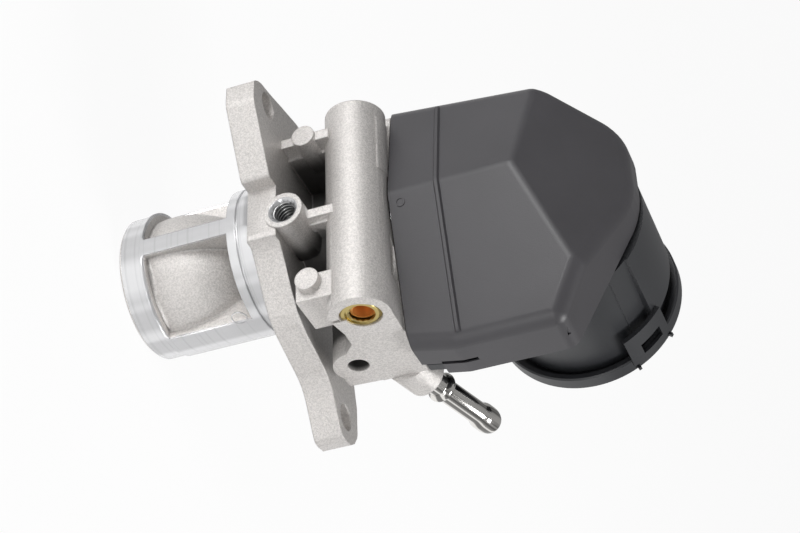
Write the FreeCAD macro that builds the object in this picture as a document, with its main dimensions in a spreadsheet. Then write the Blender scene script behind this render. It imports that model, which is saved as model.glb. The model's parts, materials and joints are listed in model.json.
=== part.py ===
"""Electric exhaust gas recirculation valve, as separate named sub-parts.

Frame: millimetres, +Z up along the valve axis, origin on that axis in the flange's
mounting face. The slotted spigot points down and the actuator stands on top. The face
with the threaded boss and the tubular boss looks along -Y.
"""
import FreeCAD
import Part
import math
import os
import re
import Sketcher
from FreeCAD import Placement, Rotation, Vector

# Driving dimensions
SIZES = {
    "spigot_r": 22.5,
    "spigot_len": 44.0,
    "spigot_bore_r": 17.4,
    "window_low": 35.5,
    "window_high": 8.3,
    "window_turn": 72.5,
    "strut_turn": 14.0,
    "strut_at": -87.0,
    "nozzle_foot_r": 19.6,
    "nozzle_nose_r": 10.6,
    "nozzle_wall": 2.2,
    "nose_depth": 9.0,
    "chamber_r": 17.5,
    "chamber_top": 1.5,
    "groove_z": 4.6,
    "groove_w": 0.8,
    "groove_d": 0.5,
    "end_land": 7.0,
    "end_step": 0.5,
    "seat_r": 9.2,
    "seat_hole_r": 7.4,
    "seat_depth": 3.0,
    "head_r": 8.9,
    "head_t": 2.6,
    "stem_r": 3.0,
    "stem_gap": 0.03,
    "valve_lift": 6.6,
    "flange_t": 9.0,
    "bolt_hole_r": 4.2,
    "lug_r": 9.4,
    "hole_a_x": -32.0,
    "hole_a_y": -31.5,
    "hole_b_x": 44.0,
    "hole_b_y": 26.5,
    "core_r": 15.5,
    "deck_z": 38.7,
    "deck_t": 5.7,
    "deck_inset": 0.7,
    "bush_r": 5.5,
    "bush_top": 20.0,
    "seal_r": 7.0,
    "seal_top": 24.0,
    "spring_pit_r": 11.0,
    "gallery_r": 9.2,
    "gallery_y": -13.0,
    "gallery_z": 29.6,
    "gallery_left": -34.0,
    "gallery_right": 38.0,
    "gallery_bore_r": 5.2,
    "gallery_depth": 52.0,
    "plug_r": 6.0,
    "plug_seat": 9.0,
    "lobe_r": 7.5,
    "lobe_y": 11.0,
    "lobe_z": 19.5,
    "lobe_hole_r": 3.2,
    "lobe_hole_depth": 14.0,
    "rib_t": 5.0,
    "post_r": 3.6,
    "post_face": -23.0,
    "post_a_x": -24.5,
    "post_a_z": 16.5,
    "post_b_x": 28.0,
    "post_b_z": 17.5,
    "thread_boss_r": 6.0,
    "thread_boss_x": 4.0,
    "thread_boss_z": 11.5,
    "thread_boss_face": -26.0,
    "thread_hole_r": 3.4,
    "thread_depth": 15.0,
    "pipe_x": 33.0,
    "pipe_root_y": 18.0,
    "pipe_root_z": 29.5,
    "pipe_lean": 15.5,
    "pipe_r": 3.4,
    "pipe_bore_r": 2.5,
    "pipe_boss_r": 6.5,
    "pipe_boss_len": 14.0,
    "pipe_len": 46.0,
    "pipe_set": 10.0,
    "bead_r": 4.9,
    "bead_at": 18.0,
    "bulb_r": 4.3,
    "gap": 0.5,
    "hood_wall": 2.2,
    "hood_left": -40.0,
    "hood_right": 41.5,
    "hood_turn_z": 85.5,
    "hood_turn_x": -34.2,
    "wall_right": 45.2,
    "taper_z": 52.0,
    "taper": 1.3,
    "soft_edge": 5.0,
    "hood_shoulder_z": 83.9,
    "hood_nose_z": 107.2,
    "nose_left_x": -19.5,
    "nose_right_x": 5.5,
    "nose_round": 26.0,
    "ridge_x": -3.0,
    "ridge_y": -13.0,
    "left_slope": 0.167,
    "right_slope": 0.268,
    "hip_z": 77.0,
    "hip_slope": 0.66,
    "hood_skirt": 16.0,
    "lip_w": 15.5,
    "lip_h": 0.8,
    "plate_y": 15.0,
    "plate_t": 3.0,
    "foot_t": 3.0,
    "foot_y": 3.0,
    "gasket_t": 0.5,
    "can_x": 0.0,
    "can_z": 78.2,
    "can_r": 26.0,
    "can_wall": 2.2,
    "rear_clear": 0.6,
    "cap_t": 2.6,
    "cap_rim_r": 30.3,
    "cap_skirt": 5.0,
    "tab_w": 16.0,
    "tab_len": 9.0,
    "tab_t": 2.4,
    "socket_x": -24.0,
    "socket_z": 46.8,
    "socket_w": 24.0,
    "socket_deep": 9.6,
    "socket_len": 18.0,
    "socket_wall": 1.8,
    "pin_pitch": 3.6,
    "pin_side": 0.8,
    "pin_len": 12.0,
    "gear_x": 0.0,
    "gear_z": 65.0,
    "gear_face": 5.0,
    "gear_t": 5.0,
    "gear_teeth": 48,
    "gear_module": 0.8,
    "hub_r": 6.0,
    "output_shaft_r": 3.0,
    "wheel_teeth": 36,
    "wheel_module": 0.6,
    "wheel_t": 3.0,
    "wheel_face": 11.0,
    "pinion_teeth": 12,
    "mid_shaft_r": 1.8,
    "cam_start_r": 8.0,
    "cam_sweep": 120.0,
    "cam_depth": 3.0,
    "roller_r": 3.0,
    "roller_t": 2.4,
    "roller_gap": 0.15,
    "roller_pin_r": 1.5,
    "link_w": 9.0,
    "link_t": 6.0,
    "retainer_z": 43.0,
    "retainer_t": 1.6,
    "retainer_r": 8.7,
    "spring_r": 7.4,
    "spring_wire": 1.0,
    "spring_turns": 5.0,
    "motor_r": 23.5,
    "motor_bore_r": 14.6,
    "motor_front": 20.0,
    "motor_len": 36.4,
    "rotor_r": 13.8,
    "motor_shaft_r": 2.0,
    "bearing_r": 5.5,
    "bearing_t": 3.0,
    "board_t": 1.5,
    "screw_r": 2.0,
    "screw_head_r": 3.6,
    "screw_head_t": 2.4,
    "screw_len": 12.0,
    "slot_z": 44.0,
    "slot_len": 11.0,
    "slot_w": 1.4,
    "slot_up": 4.2,
    "slot_deep": 10.0,
    "lip_soft": 3.0,
    "board_in": 10.0,
    "board_w": 9.0,
    "board_z": 58.0,
    "board_len": 20.0,
    "screw_a": 12.0,
    "screw_b": 22.0,
    "screw_y": 9.0,
    "bulb_land": 3.0,
    "bulb_end": 3.4,
}
SIZES["can_end"] = SIZES["motor_front"] + SIZES["motor_len"] + SIZES["bearing_t"] + SIZES["rear_clear"]

doc = FreeCAD.newDocument("egr_valve")
sheet = doc.addObject("Spreadsheet::Sheet", "dims")
for row, (alias, value) in enumerate(SIZES.items(), start=1):
    sheet.set(f"A{row}", alias)
    sheet.set(f"B{row}", str(value))
    sheet.setAlias(f"B{row}", alias)
doc.recompute()

NAMES = re.compile(r"\b(" + "|".join(sorted(SIZES, key=len, reverse=True)) + r")\b")
ALONG_Z = Rotation()
ALONG_X = Rotation(Vector(0, 1, 0), 90)
TO_FRONT = Rotation(Vector(1, 0, 0), 90)
nodes = []


def bound(text):
    """Returns an expression with every size written as a cell of the sheet."""
    return NAMES.sub(r"dims.\1", str(text))


def num(text):
    """Returns the value of an expression of sizes."""
    return float(sheet.evalExpression(str(text)))


def bind(thing, **sizes):
    """Binds properties of an object to expressions of sizes."""
    for prop, text in sizes.items():
        thing.setExpression(prop, bound(text))
    return thing


def place(thing, x=0, y=0, z=0, turn=ALONG_Z):
    """Puts an object at a point given by expressions of sizes."""
    thing.Placement = Placement(Vector(num(x), num(y), num(z)), turn)
    for axis, text in (("x", x), ("y", y), ("z", z)):
        thing.setExpression(f"Placement.Base.{axis}", bound(text))
    return thing


def rod(name, radius, height, x=0, y=0, z=0, turn=ALONG_Z):
    """A cylinder whose axis starts at the given point."""
    thing = doc.addObject("Part::Cylinder", name)
    bind(thing, Radius=radius, Height=height)
    return place(thing, x, y, z, turn)


def block(name, low, high):
    """A box between two corners, each three expressions."""
    thing = doc.addObject("Part::Box", name)
    spans = [f"({b})-({a})" for a, b in zip(low, high)]
    bind(thing, Length=spans[0], Width=spans[1], Height=spans[2])
    return place(thing, *low)


def fuse(name, things):
    """One solid of several."""
    thing = doc.addObject("Part::MultiFuse", name)
    thing.Shapes = things
    thing.Refine = True
    return thing


def common(name, things):
    """What several solids share."""
    thing = doc.addObject("Part::MultiCommon", name)
    thing.Shapes = things
    return thing


def cut(name, base, tool):
    """A solid less another."""
    thing = doc.addObject("Part::Cut", name)
    thing.Base = base
    thing.Tool = tool
    thing.Refine = True
    return thing


def node(thing, label):
    """Names an object as a sub-part that is written out."""
    thing.Label = label
    nodes.append(thing)
    return thing


def body_of(name):
    """An empty body."""
    return doc.addObject("PartDesign::Body", name)


def plane_of(body, role):
    """One of a body's origin planes."""
    return next(f for f in body.Origin.OriginFeatures if f.Role == role)


def sketch_in(body, name, role="XZ_Plane"):
    """A sketch on one of a body's origin planes."""
    sketch = body.newObject("Sketcher::SketchObject", name)
    sketch.AttachmentSupport = [(plane_of(body, role), "")]
    sketch.MapMode = "FlatFace"
    return sketch


def polygon(sketch, points):
    """Draws a closed polygon whose corners are bound to expressions of sizes."""
    corners = [Vector(num(x), num(y), 0) for x, y in points]
    for start, end in zip(corners, corners[1:] + corners[:1]):
        sketch.addGeometry(Part.LineSegment(start, end), False)
    count = len(corners)
    for i in range(count):
        sketch.addConstraint(Sketcher.Constraint("Coincident", i, 2, (i + 1) % count, 1))
    for i, (x, y) in enumerate(points):
        for kind, text, value in (("DistanceX", x, corners[i].x), ("DistanceY", y, corners[i].y)):
            index = sketch.addConstraint(Sketcher.Constraint(kind, i, 1, value))
            sketch.setExpression(f"Constraints[{index}]", bound(text))


def turned(name, points):
    """A body turned about its own Z axis from corners of radius and height."""
    body = body_of(name)
    sketch = sketch_in(body, name + "_section")
    polygon(sketch, points)
    turn = body.newObject("PartDesign::Revolution", name + "_turn")
    turn.Profile = sketch
    turn.ReferenceAxis = (sketch, ["V_Axis"])
    turn.Angle = 360
    return body


def rounded(points, radii):
    """A closed wire through corners in a plane, each rounded by its own radius."""
    corners = [Vector(*p, 0) if len(p) == 2 else Vector(*p) for p in points]
    count = len(corners)
    edges = []
    ends = []
    for i, radius in enumerate(radii):
        here = corners[i]
        back = Vector(corners[i - 1] - here).normalize()
        ahead = Vector(corners[(i + 1) % count] - here).normalize()
        if radius <= 0:
            ends.append((here, here, None))
            continue
        half = back.getAngle(ahead) / 2
        room = 0.49 * min((corners[i - 1] - here).Length, (corners[(i + 1) % count] - here).Length)
        reach = min(radius / math.tan(half), room)
        radius = reach * math.tan(half)
        middle = here + (back + ahead).normalize() * (radius / math.sin(half) - radius)
        ends.append((here + back * reach, here + ahead * reach, middle))
    for i in range(count):
        start, finish, middle = ends[i]
        if middle is not None:
            edges.append(Part.Arc(start, middle, finish).toShape())
        after = ends[(i + 1) % count][0]
        if (after - finish).Length > 1e-6:
            edges.append(Part.LineSegment(finish, after).toShape())
    return Part.Wire(edges)


def solid(name, shape):
    """An object for a shape made from the sheet's values."""
    thing = doc.addObject("Part::Feature", name)
    thing.Shape = shape
    return thing


def prism(wire, along):
    """A solid swept straight from a flat wire."""
    return Part.Face(wire).extrude(Vector(*along))


# Spigot with its nozzle
def nozzle_curve(inset):
    """The nozzle's wall in radius and height, one smooth arc from foot to nose."""
    foot = Vector(num("nozzle_foot_r") - inset, 0, -num("window_low"))
    nose = Vector(num("nozzle_nose_r") - inset, 0, -num("nose_depth"))
    reach = nose.z - foot.z
    bulge = Vector(nose.x + 0.8 * (foot.x - nose.x), 0, foot.z + 0.6 * reach)
    return foot, bulge, nose


def revolve(points_and_edges):
    """A solid turned about the valve axis from edges in the XZ plane."""
    return Part.Face(Part.Wire(points_and_edges)).revolve(Vector(), Vector(0, 0, 1), 360)


def chain(points):
    """Straight edges through points of radius and height."""
    spots = [Vector(r, 0, z) for r, z in points]
    return [Part.LineSegment(a, b).toShape() for a, b in zip(spots, spots[1:])]


def window_ring():
    """What the windows take out of the spigot, outside the nozzle."""
    foot, bulge, nose = nozzle_curve(0)
    outside = num("spigot_r") + 1
    top = -num("window_high")
    edges = chain([(nose.x, nose.z), (nose.x, top), (outside, top), (outside, foot.z), (foot.x, foot.z)])
    return revolve(edges + [Part.Arc(foot, bulge, nose).toShape()])


def gas_space():
    """The inlet inside the nozzle, the seat's pocket and the chamber above it."""
    foot, bulge, nose = nozzle_curve(num("nozzle_wall"))
    seat_low = -num("nose_depth") - num("seat_depth")
    neck = Vector(num("seat_r") + 0.9, 0, seat_low)
    below = -num("spigot_len") - 1
    bore = num("spigot_bore_r")
    edges = chain([(neck.x, neck.z), (num("seat_r"), seat_low), (num("seat_r"), -num("nose_depth")),
                   (num("chamber_r"), -num("nose_depth")), (num("chamber_r"), -num("chamber_top")),
                   (0, -num("chamber_top")), (0, below), (bore, below), (bore, foot.z)])
    middle = Vector(bulge.x, 0, bulge.z - 1.5)
    return revolve(edges + [Part.Arc(Vector(bore, 0, foot.z), middle, neck).toShape()])


spigot = turned("spigot", [
    ("0", "-spigot_len"), ("spigot_r-end_step-1", "-spigot_len"), ("spigot_r-end_step", "1-spigot_len"),
    ("spigot_r-end_step", "end_land-spigot_len"), ("spigot_r", "end_land+end_step-spigot_len"),
    ("spigot_r", "-groove_z-groove_w"), ("spigot_r-groove_d", "-groove_z-groove_w"),
    ("spigot_r-groove_d", "-groove_z"), ("spigot_r", "-groove_z"), ("spigot_r", "1"), ("0", "1")])


def window_sector(middle):
    """A wedge from the valve axis as wide as a window, round a middle angle in degrees."""
    half = num("window_turn") / 2
    reach = 3 * num("spigot_r")
    sides = [Rotation(Vector(0, 0, 1), middle + side).multVec(Vector(reach, 0, 0)) for side in (-half, half)]
    wedge = prism(Part.makePolygon([Vector(), sides[0], sides[1], Vector()]), (0, 0, num("spigot_len")))
    return wedge.translated(Vector(0, 0, -num("spigot_len")))


def window_shape():
    """The three windows: one on each side of the narrow strut and one opposite to it."""
    aside = (num("window_turn") + num("strut_turn")) / 2
    middles = (num("strut_at") + aside, num("strut_at") - aside, num("strut_at") + 180)
    wedges = window_sector(middles[0]).fuse([window_sector(m) for m in middles[1:]])
    return window_ring().common(wedges)


windows = solid("windows", window_shape())


# Flange and casting behind it
def flange_wire():
    """The flange's outline with a lug round each bolt hole."""
    lug = num("lug_r")
    ax, ay = num("hole_a_x"), num("hole_a_y")
    bx, by = num("hole_b_x"), num("hole_b_y")
    core = num("spigot_r") + 2.8
    points = [(-6.5, -core), (-6.5, -core - 4.7), (ax + 5, ay - lug - 0.6), (ax - lug, ay - lug),
              (ax - lug, -6), (-37, 14), (-20, core + 1), (8, core + 3), (bx - 8, by + lug),
              (bx + lug, by + lug), (bx + lug, by - 2), (bx - 6, by - lug - 2), (31, -5), (23.5, -17.5),
              (14, -core)]
    radii = [0, 1.5, 5, 8, 20, 14, 12, 12, 6, lug - 1, 7, 14, 14, 12, 12]
    return rounded(points, radii)


flange = solid("flange_plate", prism(flange_wire(), (0, 0, num("flange_t"))))


def deck_points(inset):
    """The casting's deck under the hood, in X and Y."""
    left = num("hood_left") + inset
    right = num("hood_right") - inset
    ridge_x, ridge_y = num("ridge_x"), num("ridge_y") + inset
    low = num("hood_skirt") - inset
    return [(left, low), (left, ridge_y + (ridge_x - left) * num("left_slope")), (ridge_x, ridge_y),
            (right, ridge_y + (right - ridge_x) * num("right_slope")), (right, low)]


deck = solid("deck", prism(rounded(deck_points(num("deck_inset")), [5, 5, 8, 5, 5]), (0, 0, num("deck_t"))))
place(deck, 0, 0, "deck_z-deck_t")
core = rod("core", "core_r", "deck_z-flange_t/2", 0, 0, "flange_t/2")
gallery = rod("gallery", "gallery_r", "gallery_right-gallery_left", "gallery_left", "gallery_y", "gallery_z", ALONG_X)
pad = block("gallery_pad", ("gallery_left+2", "gallery_y", "gallery_z-6"), ("gallery_right", "core_r", "deck_z-deck_t+1"))
lobe = rod("lobe", "lobe_r", "14", "gallery_right-14", "lobe_y", "lobe_z", ALONG_X)
lobe_back = block("lobe_back", ("gallery_right-14", "lobe_y-lobe_r", "lobe_z"), ("gallery_right", "lobe_y+lobe_r+1", "deck_z-1"))
rib_a = block("rib_a", ("post_a_x-rib_t/2", "gallery_y-3", "flange_t-1"), ("post_a_x+rib_t/2", "14", "deck_z-2"))
rib_b = block("rib_b", ("post_b_x-rib_t/2", "gallery_y-3", "flange_t-1"), ("post_b_x+rib_t/2", "14", "deck_z-2"))
rib_c = block("rib_c", ("thread_boss_x-rib_t/2", "gallery_y-6", "flange_t-1"), ("thread_boss_x+rib_t/2", "4", "gallery_z"))
rib_d = block("rib_d", ("post_b_x-3", "gallery_y", "flange_t-1"), ("gallery_right-2.5", "lobe_y-4", "lobe_z+4"))
rib_e = block("rib_e", ("gallery_left+3", "2", "flange_t-1"), ("-8", "7", "deck_z-2"))
rib_f = block("rib_f", ("-rib_t/2", "6", "flange_t-1"), ("rib_t/2", "22", "deck_z-2"))
post_a = rod("post_a", "post_r", "14", "post_a_x", "post_face+14", "post_a_z", TO_FRONT)
post_b = rod("post_b", "post_r", "14", "post_b_x", "post_face+14", "post_b_z", TO_FRONT)
boss = rod("thread_boss", "thread_boss_r", "16", "thread_boss_x", "thread_boss_face+16", "thread_boss_z", TO_FRONT)
LEAN = Rotation(Vector(1, 0, 0), -90 + SIZES["pipe_lean"])
pipe_boss = rod("pipe_boss", "pipe_boss_r", "pipe_boss_len", "pipe_x", "pipe_root_y", "pipe_root_z", LEAN)
pipe_root = block("pipe_root", ("pipe_x-pipe_boss_r", "4", "pipe_root_z-6"), ("pipe_x+pipe_boss_r-1", "pipe_root_y+3", "deck_z-1"))
rough = fuse("rough_casting", [spigot, flange, core, deck, gallery, pad, lobe, lobe_back, rib_a, rib_b, rib_c,
                               rib_d, rib_e, rib_f, post_a, post_b, boss, pipe_boss, pipe_root])
hole_a = rod("bolt_hole_a", "bolt_hole_r", "flange_t+2", "hole_a_x", "hole_a_y", "-1")
hole_b = rod("bolt_hole_b", "bolt_hole_r", "flange_t+2", "hole_b_x", "hole_b_y", "-1")
bush_bore = rod("bush_bore", "bush_r", "bush_top+chamber_top+1", 0, 0, "-chamber_top-1")
seal_bore = rod("seal_bore", "seal_r", "seal_top-bush_top+1", 0, 0, "bush_top")
spring_pit = rod("spring_pit", "spring_pit_r", "deck_z-seal_top+1", 0, 0, "seal_top")
gallery_bore = rod("gallery_bore", "gallery_bore_r", "gallery_depth", "gallery_right-gallery_depth", "gallery_y", "gallery_z", ALONG_X)
plug_bore = rod("plug_bore", "plug_r", "plug_seat+1", "gallery_right-plug_seat", "gallery_y", "gallery_z", ALONG_X)
lobe_bore = rod("lobe_bore", "lobe_hole_r", "lobe_hole_depth+1", "gallery_right-lobe_hole_depth", "lobe_y", "lobe_z", ALONG_X)
thread_bore = rod("thread_bore", "thread_hole_r", "thread_depth+1", "thread_boss_x", "thread_boss_face+thread_depth", "thread_boss_z", TO_FRONT)
pipe_axis = LEAN.multVec(Vector(0, 0, 1))
pipe_bore = rod("pipe_bore", "pipe_r", "pipe_set+1", 0, 0, 0, LEAN)
place(pipe_bore, "pipe_x", f"pipe_root_y+(pipe_boss_len-pipe_set)*{pipe_axis.y}",
      f"pipe_root_z+(pipe_boss_len-pipe_set)*{pipe_axis.z}", LEAN)
voids = [windows, solid("gas_space", gas_space()), hole_a, hole_b, bush_bore, seal_bore, spring_pit, gallery_bore,
         plug_bore, lobe_bore, thread_bore, pipe_bore]
SCREWS = [("hood_left+screw_a", "screw_y"), ("hood_left+screw_b", "screw_y"), ("hood_right-screw_b", "screw_y"),
          ("hood_right-screw_a", "screw_y")]
for i, (x, y) in enumerate(SCREWS, start=1):
    voids.append(rod(f"deck_hole_{i}", "screw_r", "screw_len-foot_t-gasket_t+1", x, y, "deck_z-screw_len+foot_t+gasket_t"))
node(cut("casting", rough, fuse("casting_voids", voids)), "valve_body")

# Plug, pipe, seat, bush, seal
plug = turned("gallery_plug", [
    ("0", "0"), ("plug_r", "0"), ("plug_r", "plug_seat-1.2"), ("plug_r-0.6", "plug_seat-0.6"), ("plug_r-1.6", "plug_seat-0.6"),
    ("plug_r-1.6", "2.4"), ("0", "2.4")])
node(place(plug, "gallery_right-plug_seat", "gallery_y", "gallery_z", ALONG_X), "core_plug")
pipe = turned("pipe", [
    ("pipe_bore_r", "0"), ("pipe_r", "0"), ("pipe_r", "bead_at-1.6"), ("bead_r", "bead_at-0.8"),
    ("bead_r", "bead_at+0.8"), ("pipe_r", "bead_at+1.6"), ("pipe_r", "pipe_len-bulb_end-bulb_land-2"),
    ("bulb_r", "pipe_len-bulb_end-bulb_land"), ("bulb_r", "pipe_len-bulb_end"), ("pipe_r", "pipe_len-0.4"), ("pipe_r-0.4", "pipe_len"), ("pipe_bore_r", "pipe_len")])
node(place(pipe, "pipe_x", f"pipe_root_y+(pipe_boss_len-pipe_set)*{pipe_axis.y}",
           f"pipe_root_z+(pipe_boss_len-pipe_set)*{pipe_axis.z}", LEAN), "coolant_pipe")
seat = turned("seat", [
    ("seat_hole_r", "0.9-nose_depth-seat_depth"), ("seat_hole_r+0.9", "-nose_depth-seat_depth"),
    ("seat_r", "-nose_depth-seat_depth"), ("seat_r", "-nose_depth"), ("seat_hole_r", "-nose_depth")])
node(seat, "valve_seat_ring")
bush = turned("bush", [
    ("stem_r+stem_gap", "-chamber_top"), ("bush_r", "-chamber_top"), ("bush_r", "bush_top"), ("stem_r+stem_gap", "bush_top")])
node(bush, "stem_guide_bush")
seal = turned("seal", [
    ("stem_r+0.15", "bush_top"), ("seal_r", "bush_top"), ("seal_r", "seal_top-0.8"), ("seal_r-1.4", "seal_top-0.8"),
    ("seal_r-1.4", "bush_top+1.2"), ("stem_r+0.9", "bush_top+1.2"), ("stem_r+0.15", "bush_top+2.4")])
node(seal, "stem_seal")
cap = turned("seal_cap", [
    ("stem_r+1.2", "seal_top-0.8"), ("seal_r", "seal_top-0.8"), ("seal_r", "seal_top"), ("stem_r+1.2", "seal_top")])
node(cap, "seal_cap")

# Valve, spring and link
head_top = "-nose_depth-seat_depth-0.3"
link_low = "retainer_z+retainer_t"
poppet = turned("poppet", [
    ("0", f"{head_top}-head_t"), ("head_r-2", f"{head_top}-head_t"), ("head_r", f"{head_top}-head_t+1"),
    ("head_r", f"{head_top}-0.3"), ("head_r-0.3", head_top), ("stem_r+2.5", f"{head_top}+0.4"), ("stem_r", f"{head_top}+3.6"),
    ("stem_r", "retainer_z-0.5"), ("stem_r-0.8", "retainer_z-0.5"), ("stem_r-0.8", f"{link_low}+5"), ("0", f"{link_low}+5")])
node(poppet, "poppet_valve")
retainer = turned("retainer", [
    ("stem_r-0.8", "retainer_z-0.5"), ("stem_r", "retainer_z-0.5"), ("stem_r", "retainer_z-2.2"),
    ("spring_r-spring_wire-0.3", "retainer_z-2.2"), ("spring_r-spring_wire-0.3", "retainer_z"), ("retainer_r", "retainer_z"), ("retainer_r", link_low), ("stem_r-0.8", link_low)])
node(retainer, "spring_retainer")


def spring_shape():
    """A round-wire coil from the pit's floor to the retainer, with flat ground ends."""
    low = num("seal_top")
    high = num("retainer_z")
    wire_r = num("spring_wire")
    rise = high - low - 2 * wire_r
    helix = Part.makeHelix(rise / num("spring_turns"), rise, num("spring_r"))
    profile = Part.Wire([Part.makeCircle(wire_r, Vector(num("spring_r"), 0, 0), Vector(0, 1, 0))])
    coil = Part.Wire(helix).makePipeShell([profile], True, True)
    coil.translate(Vector(0, 0, low + wire_r))
    return coil


node(solid("spring", spring_shape()), "return_spring")
roller_z = "gear_z-cam_start_r"
link = block("link_bar", ("-link_w/2", "-link_t/2", link_low), ("link_w/2", "link_t/2", f"{roller_z}"))
link_eye = rod("link_eye", "link_w/2", "link_t", 0, "link_t/2", roller_z, TO_FRONT)
link_socket = rod("link_socket", "stem_r-0.8", "5", 0, 0, link_low)
pin_hole = rod("link_pin_hole", "roller_pin_r", "link_t+2", 0, "link_t/2+1", roller_z, TO_FRONT)
link_body = cut("link", fuse("link_rough", [link, link_eye]), fuse("link_voids", [link_socket, pin_hole]))
node(link_body, "stem_link")
roller_low = "gear_face+cam_depth-0.3"
node(rod("roller_pin", "roller_pin_r", f"{roller_low}+link_t/2", 0, roller_low, roller_z, TO_FRONT), "roller_pin")
roller = cut("roller", rod("roller_disc", "roller_r", "roller_t", 0, roller_low, roller_z, TO_FRONT),
             rod("roller_hole", "roller_pin_r+stem_gap", "roller_t+2", 0, f"{roller_low}+1", roller_z, TO_FRONT))
node(roller, "cam_roller")


# Gears
def gear_wire(teeth, module, phase):
    """A spur gear's outline, one tooth centred at the phase angle in degrees."""
    pitch_r = teeth * module / 2
    root_r = pitch_r - 1.2 * module
    tip_r = pitch_r + 0.9 * module
    step = 2 * math.pi / teeth
    flanks = ((root_r, -0.3), (pitch_r, -0.215), (tip_r, -0.1), (tip_r, 0.1), (pitch_r, 0.215), (root_r, 0.3))
    points = []
    for tooth in range(teeth):
        centre = math.radians(phase) + tooth * step
        points += [(r * math.cos(centre + a * step), r * math.sin(centre + a * step)) for r, a in flanks]
    return Part.makePolygon([Vector(x, y, 0) for x, y in points + points[:1]])


def axis_points():
    """Centres of the three gear axes in X and Z: output, intermediate and motor."""
    out = Vector(num("gear_x"), num("gear_z"), 0)
    motor = Vector(num("can_x"), num("can_z"), 0)
    far = (num("gear_teeth") + num("pinion_teeth")) * num("gear_module") / 2
    near = (num("wheel_teeth") + num("pinion_teeth")) * num("wheel_module") / 2
    base = (motor - out).Length
    along = (far ** 2 - near ** 2 + base ** 2) / (2 * base)
    side = math.sqrt(far ** 2 - along ** 2)
    way = (motor - out).normalize()
    return out, out + way * along + Vector(way.y, -way.x, 0) * side, motor


OUT, MID, MOTOR = axis_points()
OUT_TO_MID = math.degrees(math.atan2(MID.y - OUT.y, MID.x - OUT.x))
MID_TO_MOTOR = math.degrees(math.atan2(MOTOR.y - MID.y, MOTOR.x - MID.x))
HALF_TOOTH = 180 / SIZES["pinion_teeth"]


def cam_slot():
    """The spiral groove for the roller, its lift even over the whole sweep."""
    start_r = num("cam_start_r")
    sweep = math.radians(num("cam_sweep"))
    rate = num("valve_lift") / sweep
    half = num("roller_r") + num("roller_gap")

    def side(offset):
        spots = []
        for i in range(13):
            turn = sweep * i / 12
            r = start_r + rate * turn
            angle = -math.pi / 2 - turn
            out = Vector(math.cos(angle), math.sin(angle), 0)
            along = (Vector(math.sin(angle), -math.cos(angle), 0) * r + out * rate).normalize()
            spots.append(out * r + Vector(along.y, -along.x, 0) * offset)
        curve = Part.BSplineCurve()
        curve.interpolate(spots)
        return curve.toShape(), spots[0], spots[-1], along

    left, left_start, left_end, _ = side(half)
    right, right_start, right_end, end_way = side(-half)
    start_way = Vector(math.sin(-math.pi / 2), 0, 0) * start_r + Vector(0, -1, 0) * rate
    start_way.normalize()
    start_mid = (left_start + right_start) / 2 - start_way * half
    end_mid = (left_end + right_end) / 2 + end_way * half
    start_cap = Part.Arc(right_start, start_mid, left_start).toShape()
    end_cap = Part.Arc(left_end, end_mid, right_end).toShape()
    wire = Part.Wire(Part.__sortEdges__([start_cap, left, end_cap, right]))
    return prism(wire, (0, 0, num("cam_depth") + 1))


def output_gear_shape():
    """The output gear: teeth, hub behind and the cam groove in its front face."""
    thick = num("gear_t")
    hub = num("plate_y") - num("gear_face") - thick - 0.4
    shape = prism(gear_wire(int(num("gear_teeth")), num("gear_module"), OUT_TO_MID), (0, 0, thick))
    shape = shape.fuse(Part.makeCylinder(num("hub_r"), hub, Vector(0, 0, -hub)))
    slot = cam_slot()
    slot.translate(Vector(0, 0, thick - num("cam_depth")))
    bore = Part.makeCylinder(num("output_shaft_r") + num("stem_gap"), thick + hub + 2, Vector(0, 0, -hub - 1))
    return shape.cut(slot).cut(bore).removeSplitter()


output_gear = solid("output_gear_solid", output_gear_shape())
node(place(output_gear, "gear_x", "gear_face+gear_t", "gear_z", TO_FRONT), "output_gear")


def mid_gear_shape():
    """The intermediate gear: a fine wheel and a coarse pinion in one piece."""
    wheel = prism(gear_wire(int(num("wheel_teeth")), num("wheel_module"), MID_TO_MOTOR), (0, 0, num("wheel_t")))
    reach = num("wheel_face") - num("gear_face") + 0.5
    pinion = prism(gear_wire(int(num("pinion_teeth")), num("gear_module"), OUT_TO_MID + 180 + HALF_TOOTH), (0, 0, reach))
    pinion.translate(Vector(0, 0, num("wheel_t")))
    bore = Part.makeCylinder(num("mid_shaft_r") + num("stem_gap"), 30, Vector(0, 0, -1))
    return wheel.fuse(pinion).cut(bore).removeSplitter()


mid_gear = solid("mid_gear_solid", mid_gear_shape())
mid_gear.Placement = Placement(Vector(MID.x, num("wheel_face+wheel_t"), MID.y), TO_FRONT)
node(mid_gear, "intermediate_gear")


def motor_pinion_shape():
    """The motor's pinion, pressed on its shaft."""
    pinion = prism(gear_wire(int(num("pinion_teeth")), num("wheel_module"), MID_TO_MOTOR + 180 + HALF_TOOTH),
                   (0, 0, num("wheel_t") + 0.8))
    return pinion.cut(Part.makeCylinder(num("motor_shaft_r"), 10, Vector(0, 0, -1)))


motor_pinion = solid("motor_pinion_solid", motor_pinion_shape())
place(motor_pinion, "can_x", "wheel_face+wheel_t+0.4", "can_z", TO_FRONT)
node(motor_pinion, "motor_pinion")
node(rod("output_shaft", "output_shaft_r", "plate_y+plate_t-gear_face+0.6", "gear_x", "plate_y+plate_t", "gear_z", TO_FRONT),
     "output_gear_shaft")
mid_shaft = rod("mid_shaft", "mid_shaft_r", "plate_y+plate_t-gear_face+1.5", 0, "plate_y+plate_t", 0, TO_FRONT)
mid_shaft.setExpression("Placement.Base.x", None)
mid_shaft.setExpression("Placement.Base.z", None)
mid_shaft.Placement = Placement(Vector(MID.x, num("plate_y+plate_t"), MID.y), TO_FRONT)
node(mid_shaft, "intermediate_shaft")

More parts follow.
